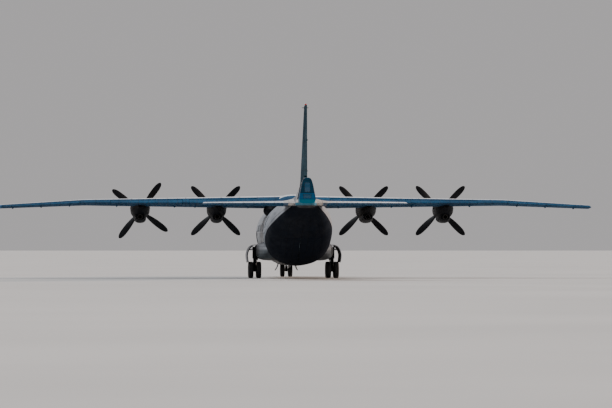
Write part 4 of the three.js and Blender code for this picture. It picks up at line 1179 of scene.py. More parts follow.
# Wing sections
def half_thickness(share, thick):
    curve = (0.2969 * math.sqrt(share) - 0.126 * share - 0.3516 * share ** 2
             + 0.2843 * share ** 3 - 0.1036 * share ** 4)
    return max(0.0, 5 * thick * curve)


SHARES = [(1 - math.cos(math.pi * i / 22)) / 2 for i in range(23)]


def section(chord, thick, above=1.0, below=1.0, grow=0.0):
    """The outline of a wing section as (distance aft, height)."""
    top = [(s * chord, above * chord * half_thickness(s, thick) + TRAIL_EDGE * s + grow) for s in SHARES]
    foot = [(s * chord, -below * chord * half_thickness(s, thick) - TRAIL_EDGE * s - grow) for s in SHARES]
    return [(-grow, 0.0), *top[1:], *foot[1:][::-1]]


def wing_lead(x):
    return mix(WING_LEAD, WING_TRAIL - WING_TIP_CHORD, abs(x) / HALF_SPAN)


def wing_chord(x):
    return WING_TRAIL - wing_lead(x)


def wing_thick(x):
    return mix(*WING_THICK, abs(x) / HALF_SPAN)


def wing_plane(x):
    return WING_PLANE - max(0.0, abs(x) - WING_OUTER_JOINT) * WING_DROOP


def wing_ring(x, grow=0.0):
    outline = section(wing_chord(x), wing_thick(x), WING_ABOVE, WING_BELOW, grow)
    return [(x, y(wing_lead(x) + aft), wing_plane(x) + height) for aft, height in outline]


def wing_part(stations, grow=0.0):
    return loft([wing_ring(x, grow) for x in stations])


def wing_hinge(x):
    """x, station, height, nose radius and chord of a moving surface where its nose begins."""
    chord = wing_chord(x)
    half = chord * half_thickness(FLAP_LINE, wing_thick(x))
    return (x, wing_lead(x) + FLAP_LINE * chord, wing_plane(x) + half * (WING_ABOVE - WING_BELOW) / 2,
            half * (WING_ABOVE + WING_BELOW) / 2 + TRAIL_EDGE * FLAP_LINE, chord * (1 - FLAP_LINE))


def flap_ring(nose, chord, place):
    """Places the outline of a surface with a round nose: an arc over the front, then the tail."""
    arc = [math.pi * (0.5 + i / 14) for i in range(15)]
    outline = [(math.cos(a) * nose, math.sin(a) * nose) for a in arc]
    outline += [(chord * t, mix(-nose, -TRAIL_EDGE, t)) for t in (0.25, 0.5, 0.75, 1.0)]
    outline += [(chord * t, mix(nose, TRAIL_EDGE, t)) for t in (1.0, 0.75, 0.5, 0.25)]
    return [place(aft, height) for aft, height in outline]


def wing_flap(ends):
    def ring(x):
        _, station, z, nose, chord = wing_hinge(x)
        sag = z - wing_plane(x)
        return flap_ring(nose, chord, lambda aft, height: (
            x, y(station + aft), z + height - max(0.0, aft) / chord * sag))

    return loft([ring(x) for x in np.linspace(ends[0] + FLAP_SEAM, ends[1] - FLAP_SEAM, 9)])


def plan_prism(outline, low=-1.0, high=12.0):
    return loft([[(x, y(s), z) for x, s in outline] for z in (low, high)])


def wing_notch(ends):
    lines = [(x, wing_hinge(x)[1] - wing_hinge(x)[3] - SEAM) for x in ends]
    return plan_prism([*lines, (ends[1], WING_TRAIL + 0.5), (ends[0], WING_TRAIL + 0.5)], 3.0, 6.5)


def tip_rings():
    base = HALF_SPAN - TIP_CAP
    middle = y(WING_TRAIL - WING_TIP_CHORD / 2)
    rings = []
    for out in (0.0, 0.25, 0.5, 0.7, 0.85, 0.95, 1.0):
        scale = math.sqrt(1 - 0.8775 * out * out)
        rings.append([
            (base + out * TIP_CAP, mix(middle, py, mix(1, scale, 0.3)), mix(wing_plane(base), pz, scale))
            for _, py, pz in wing_ring(base)])
    return rings


wing_centre = wing_part((-WING_INNER_JOINT, 0, WING_INNER_JOINT))
wing_body = wing_part((-WING_INNER_JOINT, 0, WING_INNER_JOINT), SKIN_GAP)
inner_notch = wing_notch(FLAP_INNER)
dress(cut(wing_centre, inner_notch, mirrored(inner_notch)), "wing_centre_skin", WING_PAINT, "wing_skin",
      stands_for="wing_centre")
middle_body = wing_part((WING_INNER_JOINT, WING_OUTER_JOINT), SKIN_GAP)
wing_middle = cut(
    wing_part((WING_INNER_JOINT + JOINT_GAP, WING_OUTER_JOINT - JOINT_GAP)), wing_notch(FLAP_OUTER))
dress_pair(wing_middle, "wing_middle", WING_PAINT, "wing_skin")
outer_rings = [wing_ring(x) for x in np.linspace(WING_OUTER_JOINT + JOINT_GAP, HALF_SPAN - TIP_CAP, 6)]
wing_outer = cut(loft(outer_rings[:-1] + tip_rings()), wing_notch(AILERON))
dress_pair(wing_outer, "wing_outer", WING_PAINT, "wing_skin")
for surface, ends in (("flap_inner", FLAP_INNER), ("flap_outer", FLAP_OUTER), ("aileron", AILERON)):
    dress_pair(wing_flap(ends), surface, FLAP_PAINT, "wing_skin", body=surface)

body_solid = body_loft(9.0, 33.0, SKIN_GAP)
centre_shell = cut(
    body_tube(FORWARD_JOINT + JOINT_GAP, CENTRE_JOINT - JOINT_GAP), wing_body,
    *porthole_cutters(FORWARD_JOINT, CENTRE_JOINT))
dress(lined(centre_shell), "centre_skin", LINED_BODY, "body_skin", stands_for="centre_shell")

hump_row = smooth_rows([
    [10.5, 0.5, 4.93], [11.5, 1.0, 5.16], [12.9, 1.25, 5.37], [14.2, 1.25, 5.34], [16.0, 1.1, 5.19],
    [17.4, 0.8, 5.05], [18.5, 0.45, 4.93],
])
HUMP_FOOT = 4.5
hump = loft([
    [(half * math.cos(a), y(s), HUMP_FOOT + (top - HUMP_FOOT) * math.sin(a) ** 0.7)
     for a in np.linspace(0, math.pi, 41)]
    for s in stations_between(10.5, 18.5, 0.25) for half, top in [hump_row(s)]])
dress(cut(hump, body_solid, wing_body), "wing_hump_skin", HUMP_PAINT, "wing_skin", stands_for="wing_hump")


# Tail
def tail_lead(x):
    return mix(*TAIL_LEAD, x / TAIL_HALF_SPAN)


def tail_chord(x):
    return mix(*TAIL_CHORD, x / TAIL_HALF_SPAN)


def tail_ring(x, above=1.0, below=None):
    below = above if below is None else below
    return [(x, y(tail_lead(x) + aft), TAIL_PLANE + height * (above if height > 0 else below))
            for aft, height in section(tail_chord(x), TAIL_THICK)]


def tail_hinge(x):
    return (tail_lead(x) + ELEVATOR_LINE * tail_chord(x),
            tail_chord(x) * half_thickness(ELEVATOR_LINE, TAIL_THICK) + TRAIL_EDGE * ELEVATOR_LINE,
            tail_chord(x) * (1 - ELEVATOR_LINE))


def elevator_ring(x):
    station, nose, chord = tail_hinge(x)
    return flap_ring(nose, chord, lambda aft, height: (x, y(station + aft), TAIL_PLANE + height))


def notch_front(hinge):
    """Station of the seam ahead of a moving surface, from its hinge station and nose radius."""
    return hinge[0] - hinge[1] - SEAM


elevator_rings = [elevator_ring(x) for x in np.linspace(ELEVATOR[0] + SEAM, ELEVATOR[1] - SEAM, 9)]
notch_line = [(x, notch_front(tail_hinge(x))) for x in ELEVATOR]
elevator_notch = plan_prism([*notch_line, (ELEVATOR[1], 32.5), (ELEVATOR[0], 32.5)], 3.8, 5.4)
tail_tip = [
    tail_ring(TAIL_HALF_SPAN - 0.1 + 0.1 * t, math.sqrt(1 - 0.84 * t * t)) for t in (0.3, 0.6, 0.85, 1.0)]
tailplane = cut(
    loft([tail_ring(0.2), tail_ring(TAIL_HALF_SPAN - 0.1)] + tail_tip), body_solid, elevator_notch)
dress_pair(tailplane, "tailplane", TAIL_PAINT, "wing_skin")
dress_pair(loft(elevator_rings), "elevator", ELEVATOR_PAINT, "wing_skin", body="elevator")
root_rings = [tail_ring(x, above, 1.03) for x, above in ((0.3, 1.9), (0.8, 1.6), (1.0, 1.3), (1.16, 1.12))]
tail_root = cut(loft(root_rings + [tail_ring(1.3, 1.02)]), body_solid, elevator_notch)
dress_pair(tail_root, "tail_root_fairing", CREAM_PAINT, "wing_skin", stands_for=False)


def fin_share(z):
    return (z - FIN_FOOT) / (FIN_TOP - FIN_FOOT)


def fin_lead(z):
    return mix(*FIN_LEAD, fin_share(z))


def fin_trail(z):
    return mix(*FIN_TRAIL, fin_share(z))


def fin_thick(z):
    return mix(*FIN_THICK, fin_share(z))


def fin_ring(z, lead=None, scale=1.0):
    lead = fin_lead(z) if lead is None else lead
    chord = fin_trail(z) - lead
    return [(height, y(lead + aft), z) for aft, height in section(chord, fin_thick(z) / chord * scale)]


def rudder_hinge(z):
    station = mix(*RUDDER_HINGE, (z - RUDDER[0]) / (RUDDER[1] - RUDDER[0]))
    chord = fin_trail(z) - fin_lead(z)
    share = (station - fin_lead(z)) / chord
    nose = chord * half_thickness(share, fin_thick(z) / chord) + TRAIL_EDGE * share
    return (station, nose, fin_trail(z) - station)


def rudder_ring(z):
    station, nose, chord = rudder_hinge(z)
    return flap_ring(nose, chord, lambda aft, side: (side, y(station + aft), z))


rudder_rings = [rudder_ring(z) for z in np.linspace(RUDDER[0] + SEAM, RUDDER[1] - SEAM, 9)]
dress(loft(rudder_rings), "rudder_skin", FIN_PAINT, "wing_skin", body="rudder", stands_for="rudder")
foot, head = RUDDER
notch_outline = [(notch_front(rudder_hinge(foot)), foot), (PAST_TAIL, foot), (PAST_TAIL, head),
                 (notch_front(rudder_hinge(head)), head)]
rudder_notch = loft([[(x, y(s), z) for s, z in notch_outline] for x in (-1, 1)])
FIN_CAP = 0.06
fin_top = [fin_ring(FIN_TOP - FIN_CAP)] + [
    fin_ring(FIN_TOP - FIN_CAP + FIN_CAP * t, fin_lead(FIN_TOP) + 0.12 * t * t, math.sqrt(1 - 0.64 * t * t))
    for t in (0.5, 0.8, 1.0)]
FILLET_FRONT, FILLET_TOP = 23.0, 6.0
fillet = loft([
    fin_ring(4.7, FILLET_FRONT), fin_ring(5.2, mix(FILLET_FRONT, fin_lead(FILLET_TOP), 0.42)),
    fin_ring(FILLET_TOP, fin_lead(FILLET_TOP) + 0.08)])
fin = cut(
    united([loft([fin_ring(FIN_FOOT)] + fin_top), fillet]),
    body_solid, rudder_notch, block((-0.9, y(34), 4), (0.9, y(31), RUDDER[0])))
dress(fin, "fin_skin", FIN_PAINT, "wing_skin", stands_for="fin")

# Rear body with its cargo hatch
HATCH_FRONT, HATCH_MIDDLE, HATCH_BACK, HATCH_WIDE, HATCH_NARROW = 20.85, 25.2, 28.0, 1.25, 0.95
SKIN_SLOPE = 0.29


def hatch_half(station):
    share = max(0.0, (station - HATCH_MIDDLE) / (HATCH_BACK - HATCH_MIDDLE))
    return mix(HATCH_WIDE, HATCH_NARROW, share)


def hatch_prism(front, back, front_gap=0.0, back_gap=0.0, side_gap=0.0, left=None):
    """A prism over part of the hatch, whose ends stand square to the slope of the skin."""
    outline = [
        (-hatch_half(front) + side_gap if left is None else left, front + front_gap),
        (hatch_half(front) - side_gap, front + front_gap),
        (hatch_half(back) - side_gap, back - back_gap),
        (-hatch_half(back) + side_gap if left is None else left, back - back_gap),
    ]
    return loft([
        [(x, y(s - SKIN_SLOPE * (z - np.interp(s, BODY_ROWS[:, 0], BODY_ROWS[:, 2]))), z) for x, s in outline]
        for z in (0.0, 3.9)])


LINED_BELLY = [BELLY_SHADE_PAINT, CABIN_GREEN]
rear_tube = body_tube(CENTRE_JOINT + JOINT_GAP, TAIL_JOINT - JOINT_GAP)
leaf = common(copied(rear_tube), hatch_prism(HATCH_FRONT, HATCH_MIDDLE, SEAM, SEAM, 0.001, left=0.02))
dress_pair(lined(leaf), "cargo_leaf", LINED_BELLY, "body_skin", body="cargo_leaf")
SEAL_OUTLINE = ((-0.006, 0.03), (0.0215, 0.03), (0.0215, 0.06), (-0.006, 0.06))
leaf_seal = loft([
    [(x, y(s), body_row(s)[1] + rise) for x, rise in SEAL_OUTLINE]
    for s in stations_between(HATCH_FRONT + 0.04, HATCH_MIDDLE - 0.04, 0.25)])
dress(leaf_seal, "cargo_leaf_seal", BELLY_SHADE_PAINT, "body_skin", body="cargo_leaf_right")
rear_door = common(copied(rear_tube), hatch_prism(HATCH_MIDDLE, HATCH_BACK, 2 * SEAM, 0.001, SEAM))
dress(lined(rear_door), "cargo_rear_door_skin", LINED_BELLY, "body_skin", body="cargo_rear_door",
      stands_for="cargo_rear_door")
rear_shell = cut(
    rear_tube, hatch_prism(HATCH_FRONT, HATCH_MIDDLE), hatch_prism(HATCH_MIDDLE - 0.001, HATCH_BACK))
dress(lined(rear_shell), "rear_skin", [REAR_PAINT, CABIN_GREEN], "body_skin", stands_for="rear_shell")

tail_cutters = [block((a, y(PAST_TAIL), c), (b, y(32.95), d)) for a, b, c, d in TAIL_EYES]
tail_cabin = cut(
    body_tube(TAIL_JOINT + JOINT_GAP, LENGTH, closed_back=True),
    *[sector_cutter(*pane) for pane in TAIL_PANES], *tail_cutters)
dress(tail_cabin, "tail_cabin_skin", CABIN_PAINT, "body_skin", stands_for="tail_cabin")
eye_plates = [block((a + 0.003, y(33.08), c + 0.003), (b - 0.003, y(33.066), d - 0.003), 0.003)
              for a, b, c, d in TAIL_EYES]
eye_rims = [plate_rim([(a, y(33.088), c), (b, y(33.088), c), (b, y(33.088), d), (a, y(33.088), d)], 0.012)
            for a, b, c, d in TAIL_EYES]
windows("tail", "tail_glass", TAIL_PANES, TAIL_GLASS, eye_plates, eye_rims)

# Engine pods
pod_row = smooth_rows([
    [0.03, 0.42, -0.43, 0.42], [0.08, 0.52, -0.52, 0.5], [0.22, 0.61, -0.55, 0.59],
    [0.45, 0.625, -0.545, 0.64], [0.66, 0.56, -0.48, 0.65], [0.86, 0.38, -0.15, 0.62],
    [1.0, 0.15, 0.15, 0.56],
])
chin_row = smooth_rows([
    [0.07, 0.25, -0.64, -0.2], [0.16, 0.37, -0.79, -0.2], [0.4, 0.39, -0.83, -0.2], [0.62, 0.37, -0.8, -0.2],
    [0.76, 0.3, -0.64, -0.2],
])
POD_SIDES, POD_POWER = 40, 0.85
COOLER_SHARE, EXHAUST_SHARE, EXHAUST_DROP = 0.07, 0.76, 0.44


def pod_ring(x, station, length, row, share, angles):
    half, bottom, top = row(share)
    middle = THRUST_LINE + (bottom + top) / 2
    return oval(x, station + share * length, middle, half, (top - bottom) / 2, POD_POWER, angles)


def pod_loft(x, station, length, row, first, last):
    angles = turn_steps(POD_SIDES)
    return loft([pod_ring(x, station, length, row, share, angles) for share in np.linspace(first, last, 26)])


middle_body_left = mirrored(middle_body)


def nacelle(name, x, station, length):
    front = station + 0.03 * length
    exhaust_back = station + EXHAUST_SHARE * length
    mouth = (x, y(front), THRUST_LINE)
    at = places(x, station + COOLER_SHARE * length)
    behind = places(x, exhaust_back)
    intake = lathe(
        [(0.24, -0.12), (0.24, 0.2), (0.4, 0.2), (0.4, 0.0), (0.385, -0.12), (0.24, -0.12)], mouth, AHEAD, 48)
    cooler = block(at(-0.17, 0.35, THRUST_LINE - 0.6), at(0.17, -0.1, THRUST_LINE - 0.49))
    exhaust_line = THRUST_LINE - EXHAUST_DROP
    exhaust = rod(behind(0, -0.45, exhaust_line), behind(0, 0.1, exhaust_line), 0.15, 32)
    wing = wing_body if abs(x) < WING_INNER_JOINT else (middle_body if x > 0 else middle_body_left)
    pod = united([
        pod_loft(x, station, length, pod_row, 0.03, 1.0),
        pod_loft(x, station, length, chin_row, COOLER_SHARE, EXHAUST_SHARE)])
    pod = cut(pod, wing, intake, cooler, exhaust)

    def inside(centre, normal):
        aside = centre.x - x
        in_mouth = y(front + 0.125) < centre.y < y(front + 0.001) and abs(aside) < 0.41
        in_pipe = centre.y < y(exhaust_back - 0.46)
        return (in_mouth and math.hypot(aside, centre.z - THRUST_LINE) < 0.405
                or in_pipe and math.hypot(aside, centre.z - exhaust_line) < 0.152)

    second_finish(pod, inside)
    dress(pod, f"nacelle_{name}_skin", [POD_PAINT, CAVITY], "engine_pod", stands_for=f"nacelle_{name}")
    pipe = lathe(
        [(0.132, -0.1), (0.132, 0.3), (0.147, 0.3), (0.149, -0.12), (0.14, -0.125), (0.132, -0.1)],
        (x, y(exhaust_back), exhaust_line), AFT, 32)
    pipe.data.transform(Matrix.Translation((0, 0.18, 0)))
    lip = lathe(
        [(0.4, -0.02), (0.395, 0.01), (0.405, 0.02), (0.422, 0.012), (0.425, -0.02), (0.4, -0.02)],
        mouth, AHEAD, 48)
    vanes = []
    for i in range(5):
        foot = THRUST_LINE - 0.59 + 0.02 * i
        vanes.append(block(at(-0.165, 0.05, foot), at(0.165, 0, foot + 0.005)))
    dress([pipe, lip] + vanes, f"nacelle_{name}_metal", DARK_STEEL, "engine_pod")


for name, x, station, length, _ in ENGINES:
    nacelle(name, x, station, length)

# Propellers
blade_row = smooth_rows([
    [0.24, 0.19, 0.15, 60], [0.48, 0.26, 0.10, 52], [0.85, 0.39, 0.066, 40], [1.35, 0.45, 0.044, 30],
    [1.8, 0.42, 0.03, 24], [2.08, 0.31, 0.022, 21], [2.2, 0.18, 0.014, 20], [2.25, 0.05, 0.01, 20],
])
BLADE_RADII = (
    0.24, 0.32, 0.4, 0.5, 0.65, 0.85, 1.05, 1.25, 1.45, 1.65, 1.82, 1.96, 2.08, 2.16, 2.2, 2.235, 2.25)
BLADE_OUTLINE = [(math.cos(a) * 0.5, math.sin(a) * (0.46 + 0.1 * math.cos(a + math.pi)))
                 for a in np.linspace(0, 2 * math.pi, 24, endpoint=False)]


def blade():
    rings = []
    for radius in BLADE_RADII:
        chord, thick, pitch = blade_row(radius)
        cosine, sine = math.cos(math.radians(pitch)), math.sin(math.radians(pitch))
        rings.append([(a * chord * cosine - b * thick * sine, a * chord * sine + b * thick * cosine, radius)
                      for a, b in BLADE_OUTLINE])
    return loft(rings)


spinner_row = smooth_rows([[0, 0.36], [0.22, 0.33], [0.46, 0.22], [0.59, 0.1], [0.625, 0.001]])
SPINNER_STEPS = (0, 0.08, 0.16, 0.24, 0.32, 0.4, 0.46, 0.52, 0.56, 0.59, 0.61)
SPINNER = [(0.33, -0.125), (0.345, -0.1), (0.352, -0.06), (0.346, -0.052), (0.354, -0.044),
           *[(float(spinner_row(a)[0]), a) for a in SPINNER_STEPS], (0, 0.625)]
CUFF = [(0, 0.2), (0.105, 0.2), (0.11, 0.36), (0.1, 0.39), (0.088, 0.4), (0, 0.4)]


def propeller(name, x, station, length, turn):
    back = 0.001 - 0.03 * length
    shaft = [(0, back - 0.19), (0.119, back - 0.19), (0.119, back), (0.162, back), (0.162, -0.125)]
    parts = [lathe(shaft + SPINNER, (0, 0, 0), AHEAD, 48)]
    one = blade()
    cuff = lathe(CUFF, (0, 0, 0), UP, 24)
    for quarter in range(4):
        spin = Matrix.Rotation(math.radians(turn + 90 * quarter), 4, "Y")
        parts += [copied(one, spin), copied(cuff, spin)]
    bpy.data.objects.remove(one)
    bpy.data.objects.remove(cuff)
    whole = united(parts)
    whole.data.transform(Matrix.Translation((x, y(station), THRUST_LINE)))
    dress(whole, f"propeller_{name}_skin", BLADE, "blade_metal", body=f"propeller_{name}",
          stands_for=f"propeller_{name}", sharp=40)


for engine in ENGINES:
    propeller(*engine)


# Wheels
def twin_wheels(name, centre, radius, width, twin, axle):
    """Two grooved tyres and dished hubs on one axle."""
    x, *middle = centre
    half, rim = width / 2, radius * 0.53
    tyre = [(rim, half * 0.86), (rim * 1.08, half * 0.98)]
    tyre += [(radius * r, half * h) for r, h in ((0.72, 1), (0.86, 0.96), (0.94, 0.82), (0.985, 0.64))]
    for groove in (0.42, 0.14):
        tyre += [(radius - r, half * (groove + h)) for r, h in (
            (0.001, 0.1), (0, 0.05), (0.014, 0.03), (0.014, -0.03), (0, -0.05))]
    tyre += [(r, -h) for r, h in tyre[::-1]]
    dish = [(0, -half * 0.7), (axle * 1.3, -half * 0.7)]
    dish += [(rim * r, half * h) for r, h in (
        (0.5, -0.3), (0.96, -0.5), (1.02, -0.93), (1.03, -0.8), (1.03, 0.8), (1.02, 0.93), (0.95, 0.86),
        (0.9, 0.5), (0.6, 0.38), (0.45, 0.6))]
    dish += [(axle * 1.5, half * 0.88), (0, half * 0.9)]
    tyres, hubs = [], []
    for sign in (-1, 1):
        at = (x + sign * twin / 2, *middle)
        tyres.append(lathe(tyre + [tyre[0]], at, STARBOARD, 72))
        hub = lathe(dish, at, (sign, 0, 0), 48)
        holes = []
        for angle in turn_steps(8):
            hole = (at[1] + rim * 0.74 * math.cos(angle), at[2] + rim * 0.74 * math.sin(angle))
            holes.append(rod((at[0] - 0.2, *hole), (at[0] + 0.2, *hole), rim * 0.11, 12))
        hubs.append(cut(hub, gathered(holes)))
    bars = [rod((x - twin / 2, *middle), (x + twin / 2, *middle), axle - 0.001, 24)]
    bars += [rod((x + s * 0.086, *middle), (x + s * (twin / 2 - half * 0.6), *middle), axle * 1.25, 24)
             for s in (-1, 1)]
    dress(tyres, f"{name}_tyres", RUBBER, "tyre", body=name, stands_for=name, sharp=28)
    dress(hubs + bars, f"{name}_hubs", GEAR_DARK, "gear_steel", body=name)


MAIN_WHEEL, MAIN_TWIN, NOSE_WHEEL, NOSE_TWIN, TYRE_WIDTH = 0.525, 0.5, 0.45, 0.52, 0.3
# name, centre, radius, distance between the twins and radius of the axle
WHEELS = [
    (f"main_wheels_{place}_{side}", (x, y(MAIN_STATION + sign * AXLE_SPACING / 2), MAIN_WHEEL),
     MAIN_WHEEL, MAIN_TWIN, 0.06)
    for place, sign in (("front", -1), ("rear", 1)) for side, x in (("right", MAIN_X), ("left", -MAIN_X))
]
WHEELS.append(("nose_wheels", (0, y(NOSE_STATION), NOSE_WHEEL), NOSE_WHEEL, NOSE_TWIN, 0.045))
for name, centre, radius, twin, axle in WHEELS:
    twin_wheels(name, centre, radius, TYRE_WIDTH, twin, axle)

# Sponsons, wells and doors
sponson_row = smooth_rows([
    [11.3, 1.78, 1.5, 1.95], [12.2, 2.23, 1.23, 2.24], [13.15, 2.45, 1.12, 2.35], [16.25, 2.45, 1.12, 2.35],
    [17.3, 2.25, 1.23, 2.22], [18.45, 1.8, 1.5, 1.92],
])
SPONSON_CENTRE, SPONSON_SIDES, SPONSON_POWER = 1.3, 64, 0.67
SPONSON_FRONT, SPONSON_BACK = 11.3, 18.45


def sponson_loft(grow=0.0):
    rings = []
    for s in stations_between(SPONSON_FRONT, SPONSON_BACK, 0.12):
        outer, bottom, top = sponson_row(s)
        half, rise = outer + grow - SPONSON_CENTRE, (top - bottom) / 2 + grow
        rings.append(oval(
            SPONSON_CENTRE, s, (bottom + top) / 2, half, rise, SPONSON_POWER, turn_steps(SPONSON_SIDES)))
    return loft(rings)


WELL_INNER = 1.65
well = block((WELL_INNER, y(MAIN_STATION + WELL_HALF), 0), (FAR, y(MAIN_STATION - WELL_HALF), WELL_ROOF))
sponson = cut(sponson_loft(), body_solid, well)
second_finish(sponson, lambda centre, normal: (
    WELL_INNER - 0.001 < centre.x and abs(centre.y - y(MAIN_STATION)) < WELL_HALF + 0.001
    and centre.z < WELL_ROOF + 0.001 and max(map(abs, normal)) > 0.999))
dress_pair(sponson, "sponson", [SPONSON_PAINT, CAVITY], "body_skin")


def curved_plate(line, thick_line, stations):
    """A plate bent along a line of (x, z), with its inner face along a second line."""
    outline = list(line) + list(thick_line)[::-1]
    return loft([[(x, y(s), z) for x, z in outline] for s in stations])


door_curve = smooth_rows([
    [0, 2.26, 2.11], [0.2, 2.48, 2.14], [0.5, 2.76, 2.05], [0.8, 2.95, 1.8], [1.15, 3.03, 1.45],
    [1.6, 2.975, 1.0],
])
outer_line = [tuple(door_curve(t)) for t in np.linspace(0, 1.6, 25)]
inner_line = [(mix(x, 2.0, 0.04), mix(z, 1.3, 0.044)) for x, z in outer_line]
door_stations = (MAIN_STATION - WELL_HALF + 0.04, MAIN_STATION + WELL_HALF - 0.04)
gear_door = curved_plate(outer_line, inner_line, door_stations)
dress_pair(cut(gear_door, sponson_loft(SKIN_GAP)), "gear_door", DOOR_PAINT, "body_skin")
rib_lines = [[(mix(x, 2.0, t), mix(z, 1.3, t)) for x, z in inner_line[6:]] for t in (-0.005, 0.05)]
ribs = [
    curved_plate(*rib_lines, (s - 0.02, s + 0.02))
    for s in [mix(door_stations[0] + 0.12, door_stations[1] - 0.12, i / 5) for i in range(6)]]
dress(both_sides(gathered(ribs)), "gear_door_ribs", GEAR_DARK, "body_skin")


# Main gear legs
def main_leg():
    at = places(MAIN_X, MAIN_STATION)
    beam_end = AXLE_SPACING / 2 + 0.11
    roof, pin = WELL_ROOF - 0.002, WELL_ROOF - 0.05
    parts = [
        rod(at(-0.28, 0, roof), at(-0.09, 0, 1.18), 0.105, 32, bevel=0.008),
        rod(at(-0.11, 0, 1.28), at(-0.088, 0, 1.17), 0.125, 32, bevel=0.01),
        block(at(-0.085, beam_end, 0.44), at(0.085, -beam_end, 0.6), 0.03),
        block(at(-0.08, 0.13, 0.56), at(0.08, -0.13, 0.76), 0.03),
        block(at(-0.46, 0.24, WELL_ROOF - 0.06), at(-0.11, -0.24, roof), 0.008),
        rod(at(-0.06, -0.09, 1.18), at(0, -0.32, 0.56), 0.03, 16),
    ]
    collar = [(0.0615, -0.084), (0.11, -0.08), (0.12, -0.06), (0.12, 0.06), (0.11, 0.08), (0.0615, 0.084),
              (0.0615, -0.084)]
    for sign in (-1, 1):
        parts += [
            rod(at(-0.11, sign * 0.02, 1.25), at(-0.28, sign * 0.95, roof), 0.042, 20),
            rod(at(-0.19, sign * 0.03, 1.25), at(-0.03, sign * 0.03, 1.25), 0.055, 20, bevel=0.006),
            rod(at(-0.33, sign * 0.93, pin), at(-0.23, sign * 0.93, pin), 0.045, 16),
            lathe(collar, at(0, sign * AXLE_SPACING / 2, MAIN_WHEEL), STARBOARD, 32),
            tube([at(0.1 * across, sign * aft, height) for across, aft, height in (
                (0.6, 0.1, 0.72), (0.62, 0.2, 0.66), (0.62, 0.42, 0.64), (0.6, 0.55, 0.6))], 0.013, 8),
        ]
    # way aft, height and half width at the ends of the two links that keep the piston straight
    for link in (((0.1, 0.72, 0.07), (0.3, 0.95, 0.03)), ((0.3, 0.95, 0.03), (0.1, 1.2, 0.07))):
        parts.append(loft([
            [at(-0.03 + wide * side, aft - thick, height)
             for side, thick in ((-1, -0.02), (1, -0.02), (1, 0.02), (-1, 0.02))]
            for aft, height, wide in link]))
    parts.append(tube([at(*row) for row in (
        (-0.36, -0.13, 1.98), (-0.3, -0.14, 1.8), (-0.22, -0.14, 1.4), (-0.16, -0.15, 1.15),
        (-0.12, -0.17, 0.9), (-0.1, -0.15, 0.7))], 0.012, 8))
    return parts


leg = gathered(main_leg())
piston = rod((MAIN_X - 0.118, y(MAIN_STATION), 1.24), (MAIN_X, y(MAIN_STATION), 0.7), 0.075, 32)
dress_pair(leg, "main_leg", GEAR_DARK, "gear_steel")
dress(both_sides(piston), "main_leg_pistons", STEEL, "gear_steel")

# Nose gear
at = places(0, NOSE_STATION)
strut = [
    rod(at(0, 0, BAY_ROOF - 0.001), at(0, 0, 0.96), 0.105, 40, bevel=0.008),
    rod(at(0, 0, 1.02), at(0, 0, 0.955), 0.122, 40, bevel=0.01),
    block(at(-0.22, 0.16, BAY_ROOF - 0.06), at(0.22, -0.16, BAY_ROOF - 0.001), 0.01),
    rod(at(0, 0.06, 1.12), at(0, 0.68, BAY_ROOF - 0.005), 0.04, 20),
    rod(at(-0.07, 0.08, 1.13), at(0.07, 0.08, 1.13), 0.06, 20, bevel=0.006),
]
dress(strut, "nose_leg_strut", GEAR_DARK, "gear_steel", stands_for="nose_leg")
dress(rod(at(0, 0, 0.9535), at(0, 0, 0.55), 0.062, 40), "nose_piston", STEEL, "gear_steel", body="nose_fork")
fork = [
    block(at(-0.085, 0.095, 0.355), at(0.085, -0.095, 0.62), 0.02),
    block(at(-0.045, -0.09, 0.5), at(0.045, -0.3, 0.59), 0.01),
    rod(at(-0.1, -0.22, 0.545), at(0.1, -0.22, 0.545), 0.018, 16),
    rod(at(0, 0, 0.7), at(0, 0, 0.62), 0.09, 32, bevel=0.01),
    block(at(-0.035, 0.19, 0.66), at(0.035, 0.06, 0.69), 0.006),
]
dress(fork, "nose_fork_yoke", GEAR_DARK, "gear_steel", body="nose_fork", stands_for="nose_fork")
nose_door_line = [(BAY_HALF + out, z) for out, z in ((0.006, 1.0), (0.006, 0.8), (0.05, 0.66), (0.19, 0.43))]
nose_door = curved_plate(
    nose_door_line, [(x + 0.028, z) for x, z in nose_door_line], (BAY_FRONT + 0.02, BAY_BACK - 0.02))
dress_pair(cut(nose_door, body_loft(1.5, 9.0, SKIN_GAP)), "nose_door", BODY_PAINT, "body_skin")

# Chin radome, beacon and lamps
ball = bmesh.new()
bmesh.ops.create_uvsphere(ball, u_segments=64, v_segments=32, radius=1)
radome_mesh = bpy.data.meshes.new("radome")
ball.to_mesh(radome_mesh)
ball.free()
radome = linked(radome_mesh, "radome")
radome.data.transform(Matrix.Translation((0, y(2.3), 1.18)) @ Matrix.Diagonal((0.8, 1.15, 0.42, 1)))
radome = cut(radome, body_loft(0.3, 5.0, SKIN_GAP))
dress(radome, "chin_radome_skin", RADOME_PAINT, "radome", stands_for="chin_radome")
beacon_at = (0, y(FIN_LEAD[1] + 0.7), FIN_TOP + 0.0005)
beacon = lathe(
    [(0, 0), (0.066, 0), (0.066, 0.035), (0.06, 0.062), (0.045, 0.083), (0.02, 0.096), (0, 0.099)],
    beacon_at, UP, 32)
dress(beacon, "beacon_lens", RED_GLASS, "beacon_glass", stands_for="beacon")
beacon_ring = lathe(
    [(0.064, 0.0), (0.07, 0.0), (0.07, 0.016), (0.064, 0.018), (0.064, 0.0)], beacon_at, UP, 32)
dress(beacon_ring, "beacon_ring", GEAR_PAINT, "wing_skin")


# Small fittings of the wing and tail
def fairing(spine, sides=14):
    """A closed body of oval rings, whose spine rows are (x, station, z, half width, half height)."""
    return loft([oval(*row, 1, turn_steps(sides)) for row in spine])


